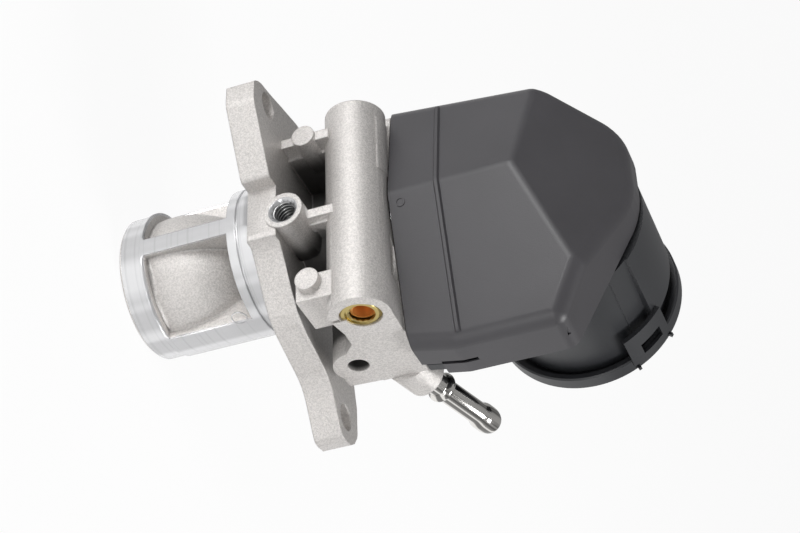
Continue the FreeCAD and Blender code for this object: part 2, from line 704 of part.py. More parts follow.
# Motor
rotor = turned("rotor", [
    ("0", "0"), ("motor_shaft_r", "0"), ("motor_shaft_r", "can_end-motor_front-motor_len+0.4"),
    ("rotor_r", "can_end-motor_front-motor_len+0.4"), ("rotor_r", "can_end-motor_front-0.4"),
    ("motor_shaft_r", "can_end-motor_front-0.4"), ("motor_shaft_r", "can_end-wheel_face+0.5"), ("0", "can_end-wheel_face+0.5")])
node(place(rotor, "can_x", "can_end", "can_z", TO_FRONT), "motor_rotor")
stator = turned("stator", [
    ("motor_bore_r", "0"), ("motor_r", "0"), ("motor_r", "motor_len"), ("motor_bore_r", "motor_len")])
node(place(stator, "can_x", "motor_front+motor_len", "can_z", TO_FRONT), "motor_stator")
for name, label, y in (("front_race", "motor_front_bearing", "plate_y+bearing_t"), ("rear_race", "motor_rear_bearing", "can_end")):
    race = turned(name, [("motor_shaft_r+stem_gap", "0"), ("bearing_r", "0"), ("bearing_r", "bearing_t"),
                         ("motor_shaft_r+stem_gap", "bearing_t")])
    node(place(race, "can_x", y, "can_z", TO_FRONT), label)


# Hood
def plan_wire(grow):
    """The hood's outline in X and Z, grown or shrunk, in the plane Y = 0."""
    left, right = num("hood_left") - grow, num("wall_right") + grow
    nose = num("hood_nose_z") + grow
    low = num("deck_z") + num("gap")
    k = num("nose_round") + grow
    points = [(left, low), (num("hood_turn_x") - grow, num("hood_turn_z") + 0.4 * grow),
              (num("nose_left_x") - 0.5 * grow, nose), (num("nose_right_x") + 0.3 * grow, nose),
              (right, num("hood_shoulder_z") + 0.6 * grow), (right, num("taper_z")),
              (num("hood_right") + num("taper") + grow, low)]
    flat = rounded(points, [0, 11 + grow, 15 + grow, k, 6 + grow, 0, 0])
    flat.rotate(Vector(), Vector(1, 0, 0), 90)
    return flat


def hood_solid(grow, low_z, high_z, low_y):
    """The hood's roof and walls as a solid, grown or shrunk, between two heights along Z."""
    ridge_y = num("ridge_y") - grow
    ridge_x = num("ridge_x")
    deep = low_y
    far = 60
    plan = plan_wire(grow)
    plan.translate(Vector(0, deep, 0))
    walls = prism(plan, (0, -deep - far, 0))
    roof_points = [Vector(-far, deep + 1, low_z), Vector(-far, ridge_y + (far + ridge_x) * num("left_slope"), low_z),
                   Vector(ridge_x, ridge_y, low_z), Vector(far, ridge_y + (far - ridge_x) * num("right_slope"), low_z),
                   Vector(far, deep + 1, low_z)]
    roof = prism(Part.makePolygon(roof_points + roof_points[:1]), (0, 0, high_z - low_z))
    hip_y = ridge_y - 0.2 * grow
    hip = num("hip_z")
    slope = num("hip_slope")
    hip_points = [Vector(-far, deep + 1, 0), Vector(-far, hip_y - hip * slope, 0), Vector(-far, hip_y + (130 - hip) * slope, 130),
                  Vector(-far, deep + 1, 130)]
    hips = prism(Part.makePolygon(hip_points + hip_points[:1]), (2 * far, 0, 0))
    return walls.common(roof).common(hips)


def below_skirt(gap):
    """Everything beyond the hood's lower edge."""
    return Part.makeBox(120, 60, 200, Vector(-60, num("hood_skirt") + gap, -60))


def hood_shape():
    """The hood: a shell with a raised lip, open below and toward the casting."""
    low = num("deck_z") + num("gap")
    wall = num("hood_wall")
    skirt = num("hood_skirt")
    outer = hood_solid(0, low, 130, skirt)
    soft = [e for e in outer.Edges if e.CenterOfMass.y < skirt - 12 and e.CenterOfMass.z > low + 1 and e.Length > 10]
    outer = outer.makeFillet(num("soft_edge"), soft)
    lip = hood_solid(num("lip_h"), low, low + num("lip_w"), skirt)
    inner = hood_solid(-wall, low - 1, 130, skirt + 1)
    inner = inner.fuse(hood_solid(-wall, low - 1, 130, skirt + 1).translated(Vector(0, 0, -5)))
    slot = Part.makeBox(num("slot_deep"), num("slot_w"), num("slot_len"),
                        Vector(num("hood_right") - 0.6 * num("slot_deep"), num("hood_skirt") - num("slot_up"), num("slot_z")))
    shape = outer.fuse(lip).cut(inner).cut(below_skirt(0)).cut(slot)
    return shape.removeSplitter()


node(solid("hood", hood_shape()), "cover_hood")


# Actuator housing
def housing_shape():
    """The gear plate with its foot on the casting, the motor can, and the socket."""
    inset = num("hood_wall") + 0.35
    plate_y, plate_t = num("plate_y"), num("plate_t")
    plan = plan_wire(-inset)
    plan.translate(Vector(0, plate_y + plate_t, 0))
    plate = prism(plan, (0, -plate_t, 0))
    centre = Vector(num("can_x"), plate_y, num("can_z"))
    along = Vector(0, 1, 0)
    can = Part.makeCylinder(num("can_r"), num("can_end") - plate_y, centre, along)
    foot_low = num("deck_z") + num("gasket_t")
    foot_x = num("hood_left") + 4
    foot = Part.makeBox(num("hood_right") - 4 - foot_x, plate_y + plate_t - num("foot_y"), num("foot_t"),
                        Vector(foot_x, num("foot_y"), foot_low))
    web = Part.makeBox(3, plate_y - num("foot_y"), 10, Vector(foot_x, num("foot_y"), foot_low))
    web_b = web.translated(Vector(num("hood_right") - 4 - foot_x - 3, 0, 0))
    box_w, box_h = num("socket_w"), num("socket_deep")
    socket = Part.makeBox(box_w, num("socket_len"), box_h,
                          Vector(num("socket_x") - box_w / 2, plate_y + plate_t, num("socket_z") - box_h / 2))
    shape = plate.fuse([can, foot, web, web_b, socket])
    inside = plan_wire(-inset)
    inside.translate(Vector(0, 60, 0))
    shape = shape.common(prism(inside, (0, -90, 0)).fuse(below_skirt(num("gap"))))
    wall = num("can_wall")
    bore = Part.makeCylinder(num("can_r") - wall, 60, Vector(centre.x, plate_y + plate_t, centre.z), along)
    race = Part.makeCylinder(num("bearing_r"), 30, Vector(centre.x, plate_y - 1, centre.z), along)
    wall = num("socket_wall")
    mouth = Part.makeBox(box_w - 2 * wall, num("socket_len"), box_h - 2 * wall,
                         Vector(num("socket_x") - box_w / 2 + wall, plate_y + plate_t + wall, num("socket_z") - box_h / 2 + wall))
    out_hole = Part.makeCylinder(num("output_shaft_r"), 20, Vector(OUT.x, plate_y - 1, OUT.y), along)
    mid_hole = Part.makeCylinder(num("mid_shaft_r"), 20, Vector(MID.x, plate_y - 1, MID.y), along)
    pit = Part.makeCylinder(num("spring_pit_r") + 1, 30, Vector(0, 0, foot_low - 10), Vector(0, 0, 1))
    shape = shape.cut([bore, race, mouth, out_hole, mid_hole, pit])
    for x, y in SCREWS:
        shape = shape.cut(Part.makeCylinder(num("screw_r"), 10, Vector(num(x), num(y), foot_low - 1)))
    return shape.removeSplitter()


housing = solid("housing", housing_shape())
node(housing, "actuator_housing")


def gasket_shape():
    """The flat gasket between the housing's foot and the casting."""
    foot_x = num("hood_left") + 4
    low = num("deck_z")
    sheet_solid = Part.makeBox(num("hood_right") - 4 - foot_x, num("plate_y") + num("plate_t") - num("foot_y"),
                               num("gasket_t"), Vector(foot_x, num("foot_y"), low))
    sheet_solid = sheet_solid.cut(Part.makeCylinder(num("spring_pit_r") + 1, 10, Vector(0, 0, low - 1)))
    for x, y in SCREWS:
        sheet_solid = sheet_solid.cut(Part.makeCylinder(num("screw_r"), 5, Vector(num(x), num(y), low - 1)))
    return sheet_solid


node(solid("gasket", gasket_shape()), "housing_gasket")
for i, (x, y) in enumerate(SCREWS, start=1):
    screw = turned(f"screw_{i}", [
        ("0", "0"), ("screw_r", "0"), ("screw_r", "screw_len"), ("screw_head_r", "screw_len"),
        ("screw_head_r", "screw_len+screw_head_t-0.5"), ("screw_head_r-0.5", "screw_len+screw_head_t"), ("0", "screw_len+screw_head_t")])
    node(place(screw, x, y, "deck_z+gasket_t+foot_t-screw_len"), f"actuator_screw_{i}")


# Motor cap
def cap_shape():
    """The end cap: a disc with a rim, a latch tab with its window, and two small nubs."""
    t = num("cap_t")
    rim = Part.makeCylinder(num("cap_rim_r"), t, Vector(0, 0, -t))
    ring = Part.makeCylinder(num("bearing_r") + 2, num("bearing_t"))
    rim = rim.fuse(ring.cut(Part.makeCylinder(num("bearing_r"), num("bearing_t"))))
    tab_x = num("cap_rim_r") - 1
    tab = Part.makeBox(num("tab_t") + 0.6, num("tab_w"), num("tab_len") + t, Vector(tab_x - 0.6, -num("tab_w") / 2, -t))
    eye = Part.makeBox(10, num("tab_w") - 5, 3.4, Vector(tab_x - 2, -num("tab_w") / 2 + 2.5, num("tab_len") - 6))
    tabs = tab.cut(eye)
    tabs.rotate(Vector(), Vector(0, 0, 1), TAB_ANGLE)
    shape = rim.fuse(tabs)
    for turn in (-17, 17):
        nub = Part.makeBox(1.6, 2, 3, Vector(num("cap_rim_r") - 1, -1, -1))
        nub.rotate(Vector(), Vector(0, 0, 1), TAB_ANGLE + turn)
        shape = shape.fuse(nub)
    return shape.removeSplitter()


TAB_ANGLE = 42
motor_cap = solid("cap", cap_shape())
place(motor_cap, "can_x", "can_end", "can_z", TO_FRONT)
node(motor_cap, "motor_cap")

# Socket pins and sensor board
for i in range(5):
    x = f"socket_x+({i}-2)*pin_pitch-pin_side/2"
    pin = block(f"pin_{i + 1}", (x, "plate_y+plate_t+socket_wall", "socket_z-pin_side/2"),
                (x + "+pin_side", "plate_y+plate_t+socket_wall+pin_len", "socket_z+pin_side/2"))
    node(pin, f"connector_pin_{i + 1}")
board = block("board", ("hood_left+board_in", "plate_y-board_t", "board_z"),
              ("hood_left+board_in+board_w", "plate_y", "board_z+board_len"))
node(board, "sensor_board")

doc.recompute()
failed = [o.Name for o in doc.Objects if "Invalid" in o.State or "Error" in o.State]
if failed:
    raise SystemExit("failed objects: " + ", ".join(failed))
os.makedirs("parts", exist_ok=True)
for thing in nodes:
    shape = thing.Shape
    if shape.isNull() or not shape.isValid():
        raise SystemExit(f"{thing.Label}: shape is null or not valid")
for thing in nodes:
    shape = thing.Shape
    shape.exportStep(f"parts/{thing.Label}.step")
    box = shape.BoundBox
    print(f"{thing.Label:22s} solids {len(shape.Solids)} volume {shape.Volume:10.1f}",
          f"x {box.XMin:.1f} {box.XMax:.1f} y {box.YMin:.1f} {box.YMax:.1f} z {box.ZMin:.1f} {box.ZMax:.1f}")
print(len(nodes), "nodes")
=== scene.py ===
"""Looks, small parts, camera and light for an electric exhaust gas recirculation valve.

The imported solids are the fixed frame. Each sub-assembly below dresses its own solids and
adds the small parts that the solids leave out. Lengths are metres, +Z runs along the valve
axis toward the actuator, and the face with the threaded boss looks along -Y.
"""
from __future__ import annotations

import json
import logging
import math
from collections.abc import Callable, Sequence
from dataclasses import dataclass, field
from enum import Enum
from functools import cached_property
from itertools import combinations

import bmesh
import bpy
from mathutils import Matrix, Vector

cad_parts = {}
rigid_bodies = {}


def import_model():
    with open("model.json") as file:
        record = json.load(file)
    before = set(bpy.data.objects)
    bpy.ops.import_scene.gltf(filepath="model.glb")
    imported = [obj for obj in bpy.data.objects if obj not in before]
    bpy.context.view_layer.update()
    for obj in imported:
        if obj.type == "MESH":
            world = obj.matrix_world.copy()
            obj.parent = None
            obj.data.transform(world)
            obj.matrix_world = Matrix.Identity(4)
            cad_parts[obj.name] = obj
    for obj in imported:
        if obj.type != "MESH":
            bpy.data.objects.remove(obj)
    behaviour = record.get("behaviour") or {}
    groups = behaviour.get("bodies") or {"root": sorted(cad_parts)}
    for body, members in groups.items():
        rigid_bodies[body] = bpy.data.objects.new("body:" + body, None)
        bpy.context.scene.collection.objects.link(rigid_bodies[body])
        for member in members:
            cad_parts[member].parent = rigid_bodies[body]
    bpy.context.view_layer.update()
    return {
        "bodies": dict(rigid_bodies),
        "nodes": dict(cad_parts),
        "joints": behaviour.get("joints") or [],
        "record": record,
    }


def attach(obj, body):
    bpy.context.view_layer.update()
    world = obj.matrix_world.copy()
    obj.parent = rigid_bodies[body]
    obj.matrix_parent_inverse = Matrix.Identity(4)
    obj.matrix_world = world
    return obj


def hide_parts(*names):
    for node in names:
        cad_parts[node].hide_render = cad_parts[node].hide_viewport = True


log = logging.getLogger("egr_valve")
MM = 0.001
STILL_BODY = "base"
Colour = tuple[float, float, float, float]
Spot = tuple[float, float, float]
Outline = Sequence[tuple[float, float]]
Ramps = tuple[tuple[int, float, float], ...]
Socket = bpy.types.NodeSocket
Work = bmesh.types.BMesh
Form = Callable[[Work], None]


class Axis(Enum):
    """An axis of the frame, by its index."""

    X = 0
    Y = 1
    Z = 2


def grey(value: float) -> Colour:
    """Returns an opaque grey of one linear value."""
    return (value, value, value, 1.0)


def scaled(colour: Colour, share: float) -> Colour:
    """Returns a colour made lighter or darker, never past white."""
    return tuple(min(1.0, c * share) for c in colour[:3]) + (1.0,)


# Shader building
class Tree:
    """A node tree with short calls for adding and joining nodes."""

    def __init__(self, tree: bpy.types.NodeTree) -> None:
        """Keeps the tree that the calls work on."""
        self.tree = tree

    def node(self, kind: str, **settings: object) -> bpy.types.Node:
        """Adds a node.

        Args:
            kind: The node's type name.
            settings: Properties to set on it.

        Returns:
            The new node.
        """
        made = self.tree.nodes.new(kind)
        for name, value in settings.items():
            setattr(made, name, value)
        return made

    def join(self, source: Socket, target: Socket) -> None:
        """Links an output to an input."""
        self.tree.links.new(source, target)


class Shader(Tree):
    """A shader tree with calls for its usual sums."""

    def feed(self, slot: Socket, value: float | Colour | Socket) -> None:
        """Gives an input its value, or joins an output to it.

        Args:
            slot: The input.
            value: A number, a colour or an output.
        """
        if isinstance(value, (int, float, tuple)):
            slot.default_value = value
        else:
            self.join(value, slot)

    def math(self, kind: str, *values: float | Socket) -> Socket:
        """Adds a math node.

        Args:
            kind: The operation.
            values: Up to three numbers or outputs to work on.

        Returns:
            The node's output.
        """
        made = self.node("ShaderNodeMath", operation=kind)
        for slot, value in zip(made.inputs, values):
            self.feed(slot, value)
        return made.outputs[0]

    def span(self, value: Socket, low: float, high: float, start: float = 0.0, end: float = 1.0) -> Socket:
        """Maps a value smoothly from one range to another.

        Args:
            value: The output to map.
            low: Where the range starts.
            high: Where the range ends.
            start: The result at the start.
            end: The result at the end.

        Returns:
            The mapped value.
        """
        made = self.node("ShaderNodeMapRange", interpolation_type="SMOOTHSTEP")
        for label, given in (("Value", value), ("From Min", low), ("From Max", high), ("To Min", start),
                             ("To Max", end)):
            self.feed(made.inputs[label], given)
        return made.outputs["Result"]

    def mix(self, factor: float | Socket, first: Colour | Socket, second: Colour | Socket) -> Socket:
        """Mixes two colours.

        Args:
            factor: The share of the second colour.
            first: The colour at zero.
            second: The colour at one.

        Returns:
            The mixed colour.
        """
        made = self.node("ShaderNodeMix", data_type="RGBA")
        for index, value in ((0, factor), (6, first), (7, second)):
            self.feed(made.inputs[index], value)
        return made.outputs[2]

    def line_noise(self, value: Socket, scale: float, detail: float) -> Socket:
        """Adds a one-dimensional noise over a value.

        Args:
            value: The output that it runs over.
            scale: Its scale.
            detail: Its detail.

        Returns:
            The noise, near one half.
        """
        made = self.node("ShaderNodeTexNoise", noise_dimensions="1D")
        made.inputs["Scale"].default_value = scale
        made.inputs["Detail"].default_value = detail
        self.join(value, made.inputs["W"])
        return made.outputs["Fac"]

    def product(self, *values: float | Socket) -> Socket:
        """Multiplies any number of values.

        Args:
            values: Numbers or outputs.

        Returns:
            Their product.
        """
        made = values[0]
        for value in values[1:]:
            made = self.math("MULTIPLY", made, value)
        return made

    def greatest(self, *values: Socket) -> Socket:
        """Returns the greatest of several values.

        Args:
            values: Numbers or outputs.

        Returns:
            The greatest.
        """
        made = values[0]
        for value in values[1:]:
            made = self.math("MAXIMUM", made, value)
        return made

    def split(self, point: Socket) -> Sequence[Socket]:
        """Returns the X, Y and Z of a point or a direction."""
        made = self.node("ShaderNodeSeparateXYZ")
        self.join(point, made.inputs[0])
        return made.outputs

    def cross_over(self, share: Socket, first: Socket, second: Socket, output: str) -> None:
        """Ends the tree with a mix of two shaders.

        Args:
            share: The share of the second.
            first: The shader at zero.
            second: The shader at one.
            output: The name of the output node.
        """
        mixed = self.node("ShaderNodeMixShader")
        for slot, source in zip(mixed.inputs, (share, first, second)):
            self.join(source, slot)
        self.join(mixed.outputs[0], self.tree.nodes[output].inputs["Surface"])


class Group(Shader):
    """A shader group with named inputs and one output."""

    def __init__(self, name: str, inputs: dict[str, float], output: str) -> None:
        """Starts the group.

        Args:
            name: The group's name.
            inputs: Each input's name and default; "Point" is a vector.
            output: The name of its output, a value.
        """
        super().__init__(bpy.data.node_groups.new(name, "ShaderNodeTree"))
        for label, value in inputs.items():
            kind = "NodeSocketVector" if label == "Point" else "NodeSocketFloat"
            made = self.tree.interface.new_socket(label, in_out="INPUT", socket_type=kind)
            if label != "Point":
                made.default_value = value
        self.tree.interface.new_socket(output, in_out="OUTPUT", socket_type="NodeSocketFloat")
        self.start = self.node("NodeGroupInput").outputs
        self.end = self.node("NodeGroupOutput").inputs[0]

    def noise(self, scale: str, detail: float, rough: float = 0.5) -> Socket:
        """Adds a noise over the group's Point.

        Args:
            scale: The input that gives its scale.
            detail: Its detail.
            rough: Its roughness.

        Returns:
            The noise, near one half.
        """
        made = self.node("ShaderNodeTexNoise")
        for label, value in (("Vector", self.start["Point"]), ("Scale", self.start[scale]),
                             ("Detail", detail), ("Roughness", rough)):
            self.feed(made.inputs[label], value)
        return made.outputs["Fac"]

    def ended(self, value: Socket) -> bpy.types.NodeTree:
        """Gives the output its value and returns the finished group."""
        self.join(value, self.end)
        return self.tree


class Effects:
    """Shader groups that several finishes share, each built once."""

    def __init__(self) -> None:
        """Builds the groups."""
        self.grain = self._grain()
        self.cloud = self._cloud()
        self.lathe = self._lathe()

    def _grain(self) -> bpy.types.NodeTree:
        """Builds fine pits and lumps of two sizes.

        Returns:
            The group: Point, Fine and Coarse scales and the Coarse share in, Height out.
        """
        inputs = {"Point": 0, "Fine": 2500.0, "Coarse": 500.0, "Share": 0.5}
        group = Group("surface grain", inputs, "Height")
        fine, coarse = (group.noise(label, 3.0, 0.6) for label in ("Fine", "Coarse"))
        share = group.start["Share"]
        light = group.product(fine, group.math("SUBTRACT", 1.0, share))
        return group.ended(group.math("ADD", group.product(coarse, share), light))

    def _cloud(self) -> bpy.types.NodeTree:
        """Builds slow, soft changes of tone, as handling and dust leave.

        Returns:
            The group: Point, Scale and Depth in, Tone out, near 1.
        """
        group = Group("tone cloud", {"Point": 0, "Scale": 60.0, "Depth": 0.1}, "Tone")
        swing = group.product(group.math("SUBTRACT", group.noise("Scale", 5.0), 0.5), group.start["Depth"])
        return group.ended(group.math("ADD", swing, 1.0))

    def _lathe(self) -> bpy.types.NodeTree:
        """Builds the fine feed marks that turning leaves across an axis.

        Returns:
            The group: Along, a distance in metres, and Pitch in, Height out.
        """
        group = Group("feed marks", {"Along": 0.0, "Pitch": 0.00025}, "Height")
        turns = group.math("DIVIDE", group.start["Along"], group.start["Pitch"])
        return group.ended(group.line_noise(turns, 1.0, 3.0))


class Surface(Shader):
    """A material's tree with its surface node, the Object coordinates and the shared effects."""

    def __init__(self, finish: Finish, effects: Effects) -> None:
        """Starts the material with the finish's plain values.

        Args:
            finish: The finish that the material shows.
            effects: The shared groups.
        """
        self.material = bpy.data.materials.new(finish.name)
        self.material.use_nodes = True
        super().__init__(self.material.node_tree)
        self.effects = effects
        self.target = self.tree.nodes["Principled BSDF"]
        for label, value in (("Base Color", finish.colour), ("Roughness", finish.roughness),
                             ("Metallic", finish.metallic), ("Specular IOR Level", finish.specular)):
            self.drive(label, value)
        self.point = self.node("ShaderNodeTexCoord").outputs["Object"]

    @cached_property
    def axes(self) -> Sequence[Socket]:
        """The X, Y and Z of the Object coordinates."""
        return self.split(self.point)

    def drive(self, label: str, value: float | Colour | Socket) -> None:
        """Sets an input of the surface node."""
        self.feed(self.target.inputs[label], value)

    def effect(self, name: str, **values: float | Socket) -> Socket:
        """Places a shared effect.

        Args:
            name: Its name.
            values: Its inputs by name, apart from Point.

        Returns:
            Its output.
        """
        made = self.node("ShaderNodeGroup", node_tree=getattr(self.effects, name))
        if "Point" in made.inputs:
            self.join(self.point, made.inputs["Point"])
        for label, value in values.items():
            self.feed(made.inputs[label], value)
        return made.outputs[0]

    def bump(self, height: Socket, depth: float, soft: float = 0.0) -> None:
        """Feeds a height to the surface's normal.

        Args:
            height: The height to feed.
            depth: The bump's distance in metres.
            soft: How far edges look rounded, in metres.
        """
        made = self.node("ShaderNodeBump")
        made.inputs["Distance"].default_value = depth
        self.join(height, made.inputs["Height"])
        if soft > 0:
            worn = self.node("ShaderNodeBevel", samples=6)
            worn.inputs["Radius"].default_value = soft
            self.join(worn.outputs["Normal"], made.inputs["Normal"])
        self.drive("Normal", made.outputs["Normal"])

    def ramped(self, ramps: Ramps) -> Socket:
        """Multiplies masks that each run from a start to a full place on one axis, in millimetres."""
        return self.product(*(self.span(self.axes[axis], low * MM, high * MM) for axis, low, high in ramps))

    def circle(self, centre: dict[int, float], start: float, full: float) -> Socket:
        """Masks by the distance from an axis.

        Args:
            centre: The axis's place on its two cross axes, by their numbers, in millimetres.
            start: The radius at which the mask starts.
            full: The radius at which it is full.

        Returns:
            The mask.
        """
        squares = []
        for axis, place in centre.items():
            away = self.math("SUBTRACT", self.axes[axis], place * MM)
            squares.append(self.product(away, away))
        return self.span(self.math("SQRT", self.math("ADD", *squares)), start * MM, full * MM)


@dataclass(frozen=True)
class Finish:
    """The plain values of a finish; the kinds below add their own patterns."""

    name: str
    colour: Colour
    roughness: float
    metallic: float = 0.0
    specular: float = 0.5


@dataclass(frozen=True)
class Grained(Finish):
    """Moulded plastic, rubber or plated metal with an even grain."""

    fine: float = 2600.0
    coarse: float = 900.0
    share: float = 0.4
    depth: float = 0.00004
    tone_scale: float = 40.0
    tone_depth: float = 0.12
    swing: float = 0.14

    def build(self, effects: Effects) -> bpy.types.Material:
        """Makes the material.

        Args:
            effects: The shared groups.

        Returns:
            The finished material.
        """
        surface = Surface(self, effects)
        grain = surface.effect("grain", Fine=self.fine, Coarse=self.coarse, Share=self.share)
        cloud = surface.effect("cloud", Scale=self.tone_scale, Depth=self.tone_depth)
        share = surface.span(cloud, 1.0 - self.tone_depth / 2, 1.0 + self.tone_depth / 2)
        tone = surface.mix(share, scaled(self.colour, 1 - self.swing), scaled(self.colour, 1 + self.swing))
        surface.drive("Base Color", tone)
        surface.drive("Roughness", surface.product(cloud, self.roughness))
        surface.bump(grain, self.depth)
        return surface.material


@dataclass(frozen=True)
class Turned(Finish):
    """Machined metal with feed marks along one axis."""

    pitch: float = 0.00022
    axis: Axis = Axis.Z
    depth: float = 0.000006
    cloud_scale: float = 80.0
    cloud_depth: float = 0.3
    groove_tone: float = 0.9

    def build(self, effects: Effects) -> bpy.types.Material:
        """Makes the material.

        Args:
            effects: The shared groups.

        Returns:
            The finished material.
        """
        surface = Surface(self, effects)
        marks = surface.effect("lathe", Pitch=self.pitch, Along=surface.axes[self.axis.value])
        cloud = surface.effect("cloud", Scale=self.cloud_scale, Depth=self.cloud_depth)
        surface.drive("Roughness", surface.product(cloud, self.roughness))
        surface.drive("Base Color", surface.mix(marks, scaled(self.colour, self.groove_tone), self.colour))
        surface.bump(marks, self.depth)
        return surface.material


@dataclass(frozen=True)
class ReflectionStreaked(Finish):
    """Plated pipe with painted reflections: dark and bright streaks run along its own axis."""

    start: Spot = (33.0, 18.0, 29.5)
    lean: float = 74.5
    streak_scale: float = 1.15
    streak_shift: float = 7.3
    dark_share: float = 0.22

    def build(self, effects: Effects) -> bpy.types.Material:
        """Makes the material.

        Args:
            effects: The shared groups.

        Returns:
            The finished material.
        """
        surface = Surface(self, effects)
        aside, deep, high = (surface.math("SUBTRACT", value, place * MM)
                             for value, place in zip(surface.axes, self.start))
        turn = math.radians(self.lean)
        across = surface.math("SUBTRACT", surface.product(high, math.sin(turn)),
                              surface.product(deep, math.cos(turn)))
        angle = surface.math("ADD", surface.math("ARCTAN2", across, aside), self.streak_shift)
        # Painted reflection: streaks set by the angle about the pipe's axis darken the plate toward a dark
        # copy of its colour.
        streaks = surface.span(surface.line_noise(angle, self.streak_scale, 2.5), 0.42, 0.56)
        mask = surface.product(streaks, surface.effect("cloud", Scale=180.0, Depth=0.5))
        surface.drive("Base Color", surface.mix(mask, scaled(self.colour, self.dark_share), self.colour))
        return surface.material


@dataclass(frozen=True)
class CastAluminium(Finish):
    """Gritty die-cast aluminium with a machined spigot, mounting face and boss. It has painted shade deep in
    its pockets and bore, and painted reflection streaks on the turned spigot. Places are millimetres.

    Each ramp is an axis number, where a mask starts and where it is full; a list of ramps is multiplied.
    """

    bright: Colour = (0.80, 0.80, 0.81, 1.0)
    bright_roughness: float = 0.24
    bump_depth: float = 0.22
    worn_edge: float = 0.6
    soft: float = 0.1
    spigot_r: float = 21.75
    spigot_ramps: Ramps = ((2, 0.1, -0.1),)
    mounting_ramps: Ramps = ((2, -0.2, -0.05), (2, 0.2, 0.05))
    rim_ramps: Ramps = ((2, -43.7, -43.9),)
    boss_centre: tuple[float, float] = (4.0, 11.5)
    chamfer_r: float = 4.5
    chamfer_ramps: Ramps = ((1, -20.0, -24.0),)
    # The pocket and bore ramps place the painted shade on the body.
    pocket_ramps: Ramps = ((1, -19.5, -10.0), (1, 24.0, 16.0), (0, -23.2, -22.0), (0, 33.5, 30.0),
                           (2, 8.7, 9.6), (2, 25.0, 22.0))
    bore_centre: tuple[float, float] = (10.5, 19.7)
    bore_r: float = 3.3
    bore_ramps: Ramps = ((0, 37.8, 36.0), (0, 22.0, 25.0))

    def build(self, effects: Effects) -> bpy.types.Material:
        """Makes the material.

        Args:
            effects: The shared groups.

        Returns:
            The finished material.
        """
        surface = Surface(self, effects)
        spigot = surface.circle({0: 0.0, 1: 0.0}, self.spigot_r - self.soft, self.spigot_r + self.soft)
        turned = surface.product(spigot, surface.ramped(self.spigot_ramps))
        normal = surface.split(surface.node("ShaderNodeNewGeometry").outputs["Normal"])
        flat = surface.span(normal["Z"], -0.95, -0.99)
        mounting = surface.product(flat, surface.ramped(self.mounting_ramps))
        rim = surface.product(flat, surface.ramped(self.rim_ramps))
        x, z = self.boss_centre
        chamfer = surface.product(surface.circle({0: x, 2: z}, self.chamfer_r + self.soft,
                                                 self.chamfer_r - self.soft),
                                  surface.ramped(self.chamfer_ramps))
        machined = surface.greatest(turned, mounting, rim, chamfer)
        marks = surface.effect("lathe", Pitch=0.0003, Along=surface.axes["Z"])
        grain = surface.effect("grain", Fine=4200.0, Coarse=1700.0, Share=0.5)
        # Painted shade: the cast colour turns to a near-black copy of itself deep in the pockets and the
        # bore.
        cast = surface.mix(self.soot(surface), self.speckled(surface, grain), scaled(self.colour, 0.14))
        # The turned metal's colour carries painted reflection streaks.
        surface.drive("Base Color", surface.mix(machined, cast, self.banded(surface)))
        polish = surface.product(machined, self.roughness - self.bright_roughness)
        surface.drive("Roughness", surface.math("SUBTRACT", self.roughness, polish))
        rough_height = surface.product(grain, surface.math("SUBTRACT", 1.0, machined))
        height = surface.math("ADD", rough_height, surface.product(marks, turned, 0.12))
        surface.bump(height, self.bump_depth * MM, self.worn_edge * MM)
        return surface.material

    def speckled(self, surface: Surface, grain: Socket) -> Socket:
        """Returns the cast skin's colour, with its slow tone and its dark and bright specks.

        Args:
            surface: The material's builder.
            grain: The grain's height.

        Returns:
            The colour of the cast skin.
        """
        tone = surface.span(surface.effect("cloud", Scale=55.0, Depth=0.4), 0.85, 1.15)
        cast = surface.mix(tone, scaled(self.colour, 0.93), self.colour)
        speck = surface.span(grain, 0.40, 0.62)
        pit = surface.product(surface.math("SUBTRACT", 1.0, speck), 0.5)
        cast = surface.mix(pit, cast, scaled(self.colour, 0.66))
        return surface.mix(surface.product(speck, 0.45), cast, scaled(self.colour, 1.3))

    def banded(self, surface: Surface) -> Socket:
        """Returns the turned metal's colour. Broad streaks along the axis are painted reflection, and thin
        rings around it are turning marks.

        Args:
            surface: The material's builder.

        Returns:
            The colour of the turned metal.
        """
        x, y, z = surface.axes
        angle = surface.math("ADD", surface.math("ARCTAN2", y, x), 4.0)
        # Painted reflection: broad dark and bright streaks set by the angle about the axis.
        streaks = surface.span(surface.line_noise(angle, 1.9, 1.5), 0.40, 0.60)
        rings = surface.span(surface.line_noise(z, 900.0, 2.0), 0.55, 0.72, 0.0, 0.3)
        share = surface.math("ADD", surface.product(streaks, 0.8), rings)
        return surface.mix(share, self.bright, scaled(self.bright, 0.66))

    def soot(self, surface: Surface) -> Socket:
        """Returns a mask of painted shade, dark deep in the pockets and in the small bore, where little light
        reaches.

        Args:
            surface: The material's builder.

        Returns:
            A mask from 0 outside to 1 deep inside.
        """
        y, z = self.bore_centre
        bore = surface.product(surface.circle({1: y, 2: z}, self.bore_r + self.soft, self.bore_r - self.soft),
                               surface.ramped(self.bore_ramps))
        return surface.greatest(surface.ramped(self.pocket_ramps), bore)


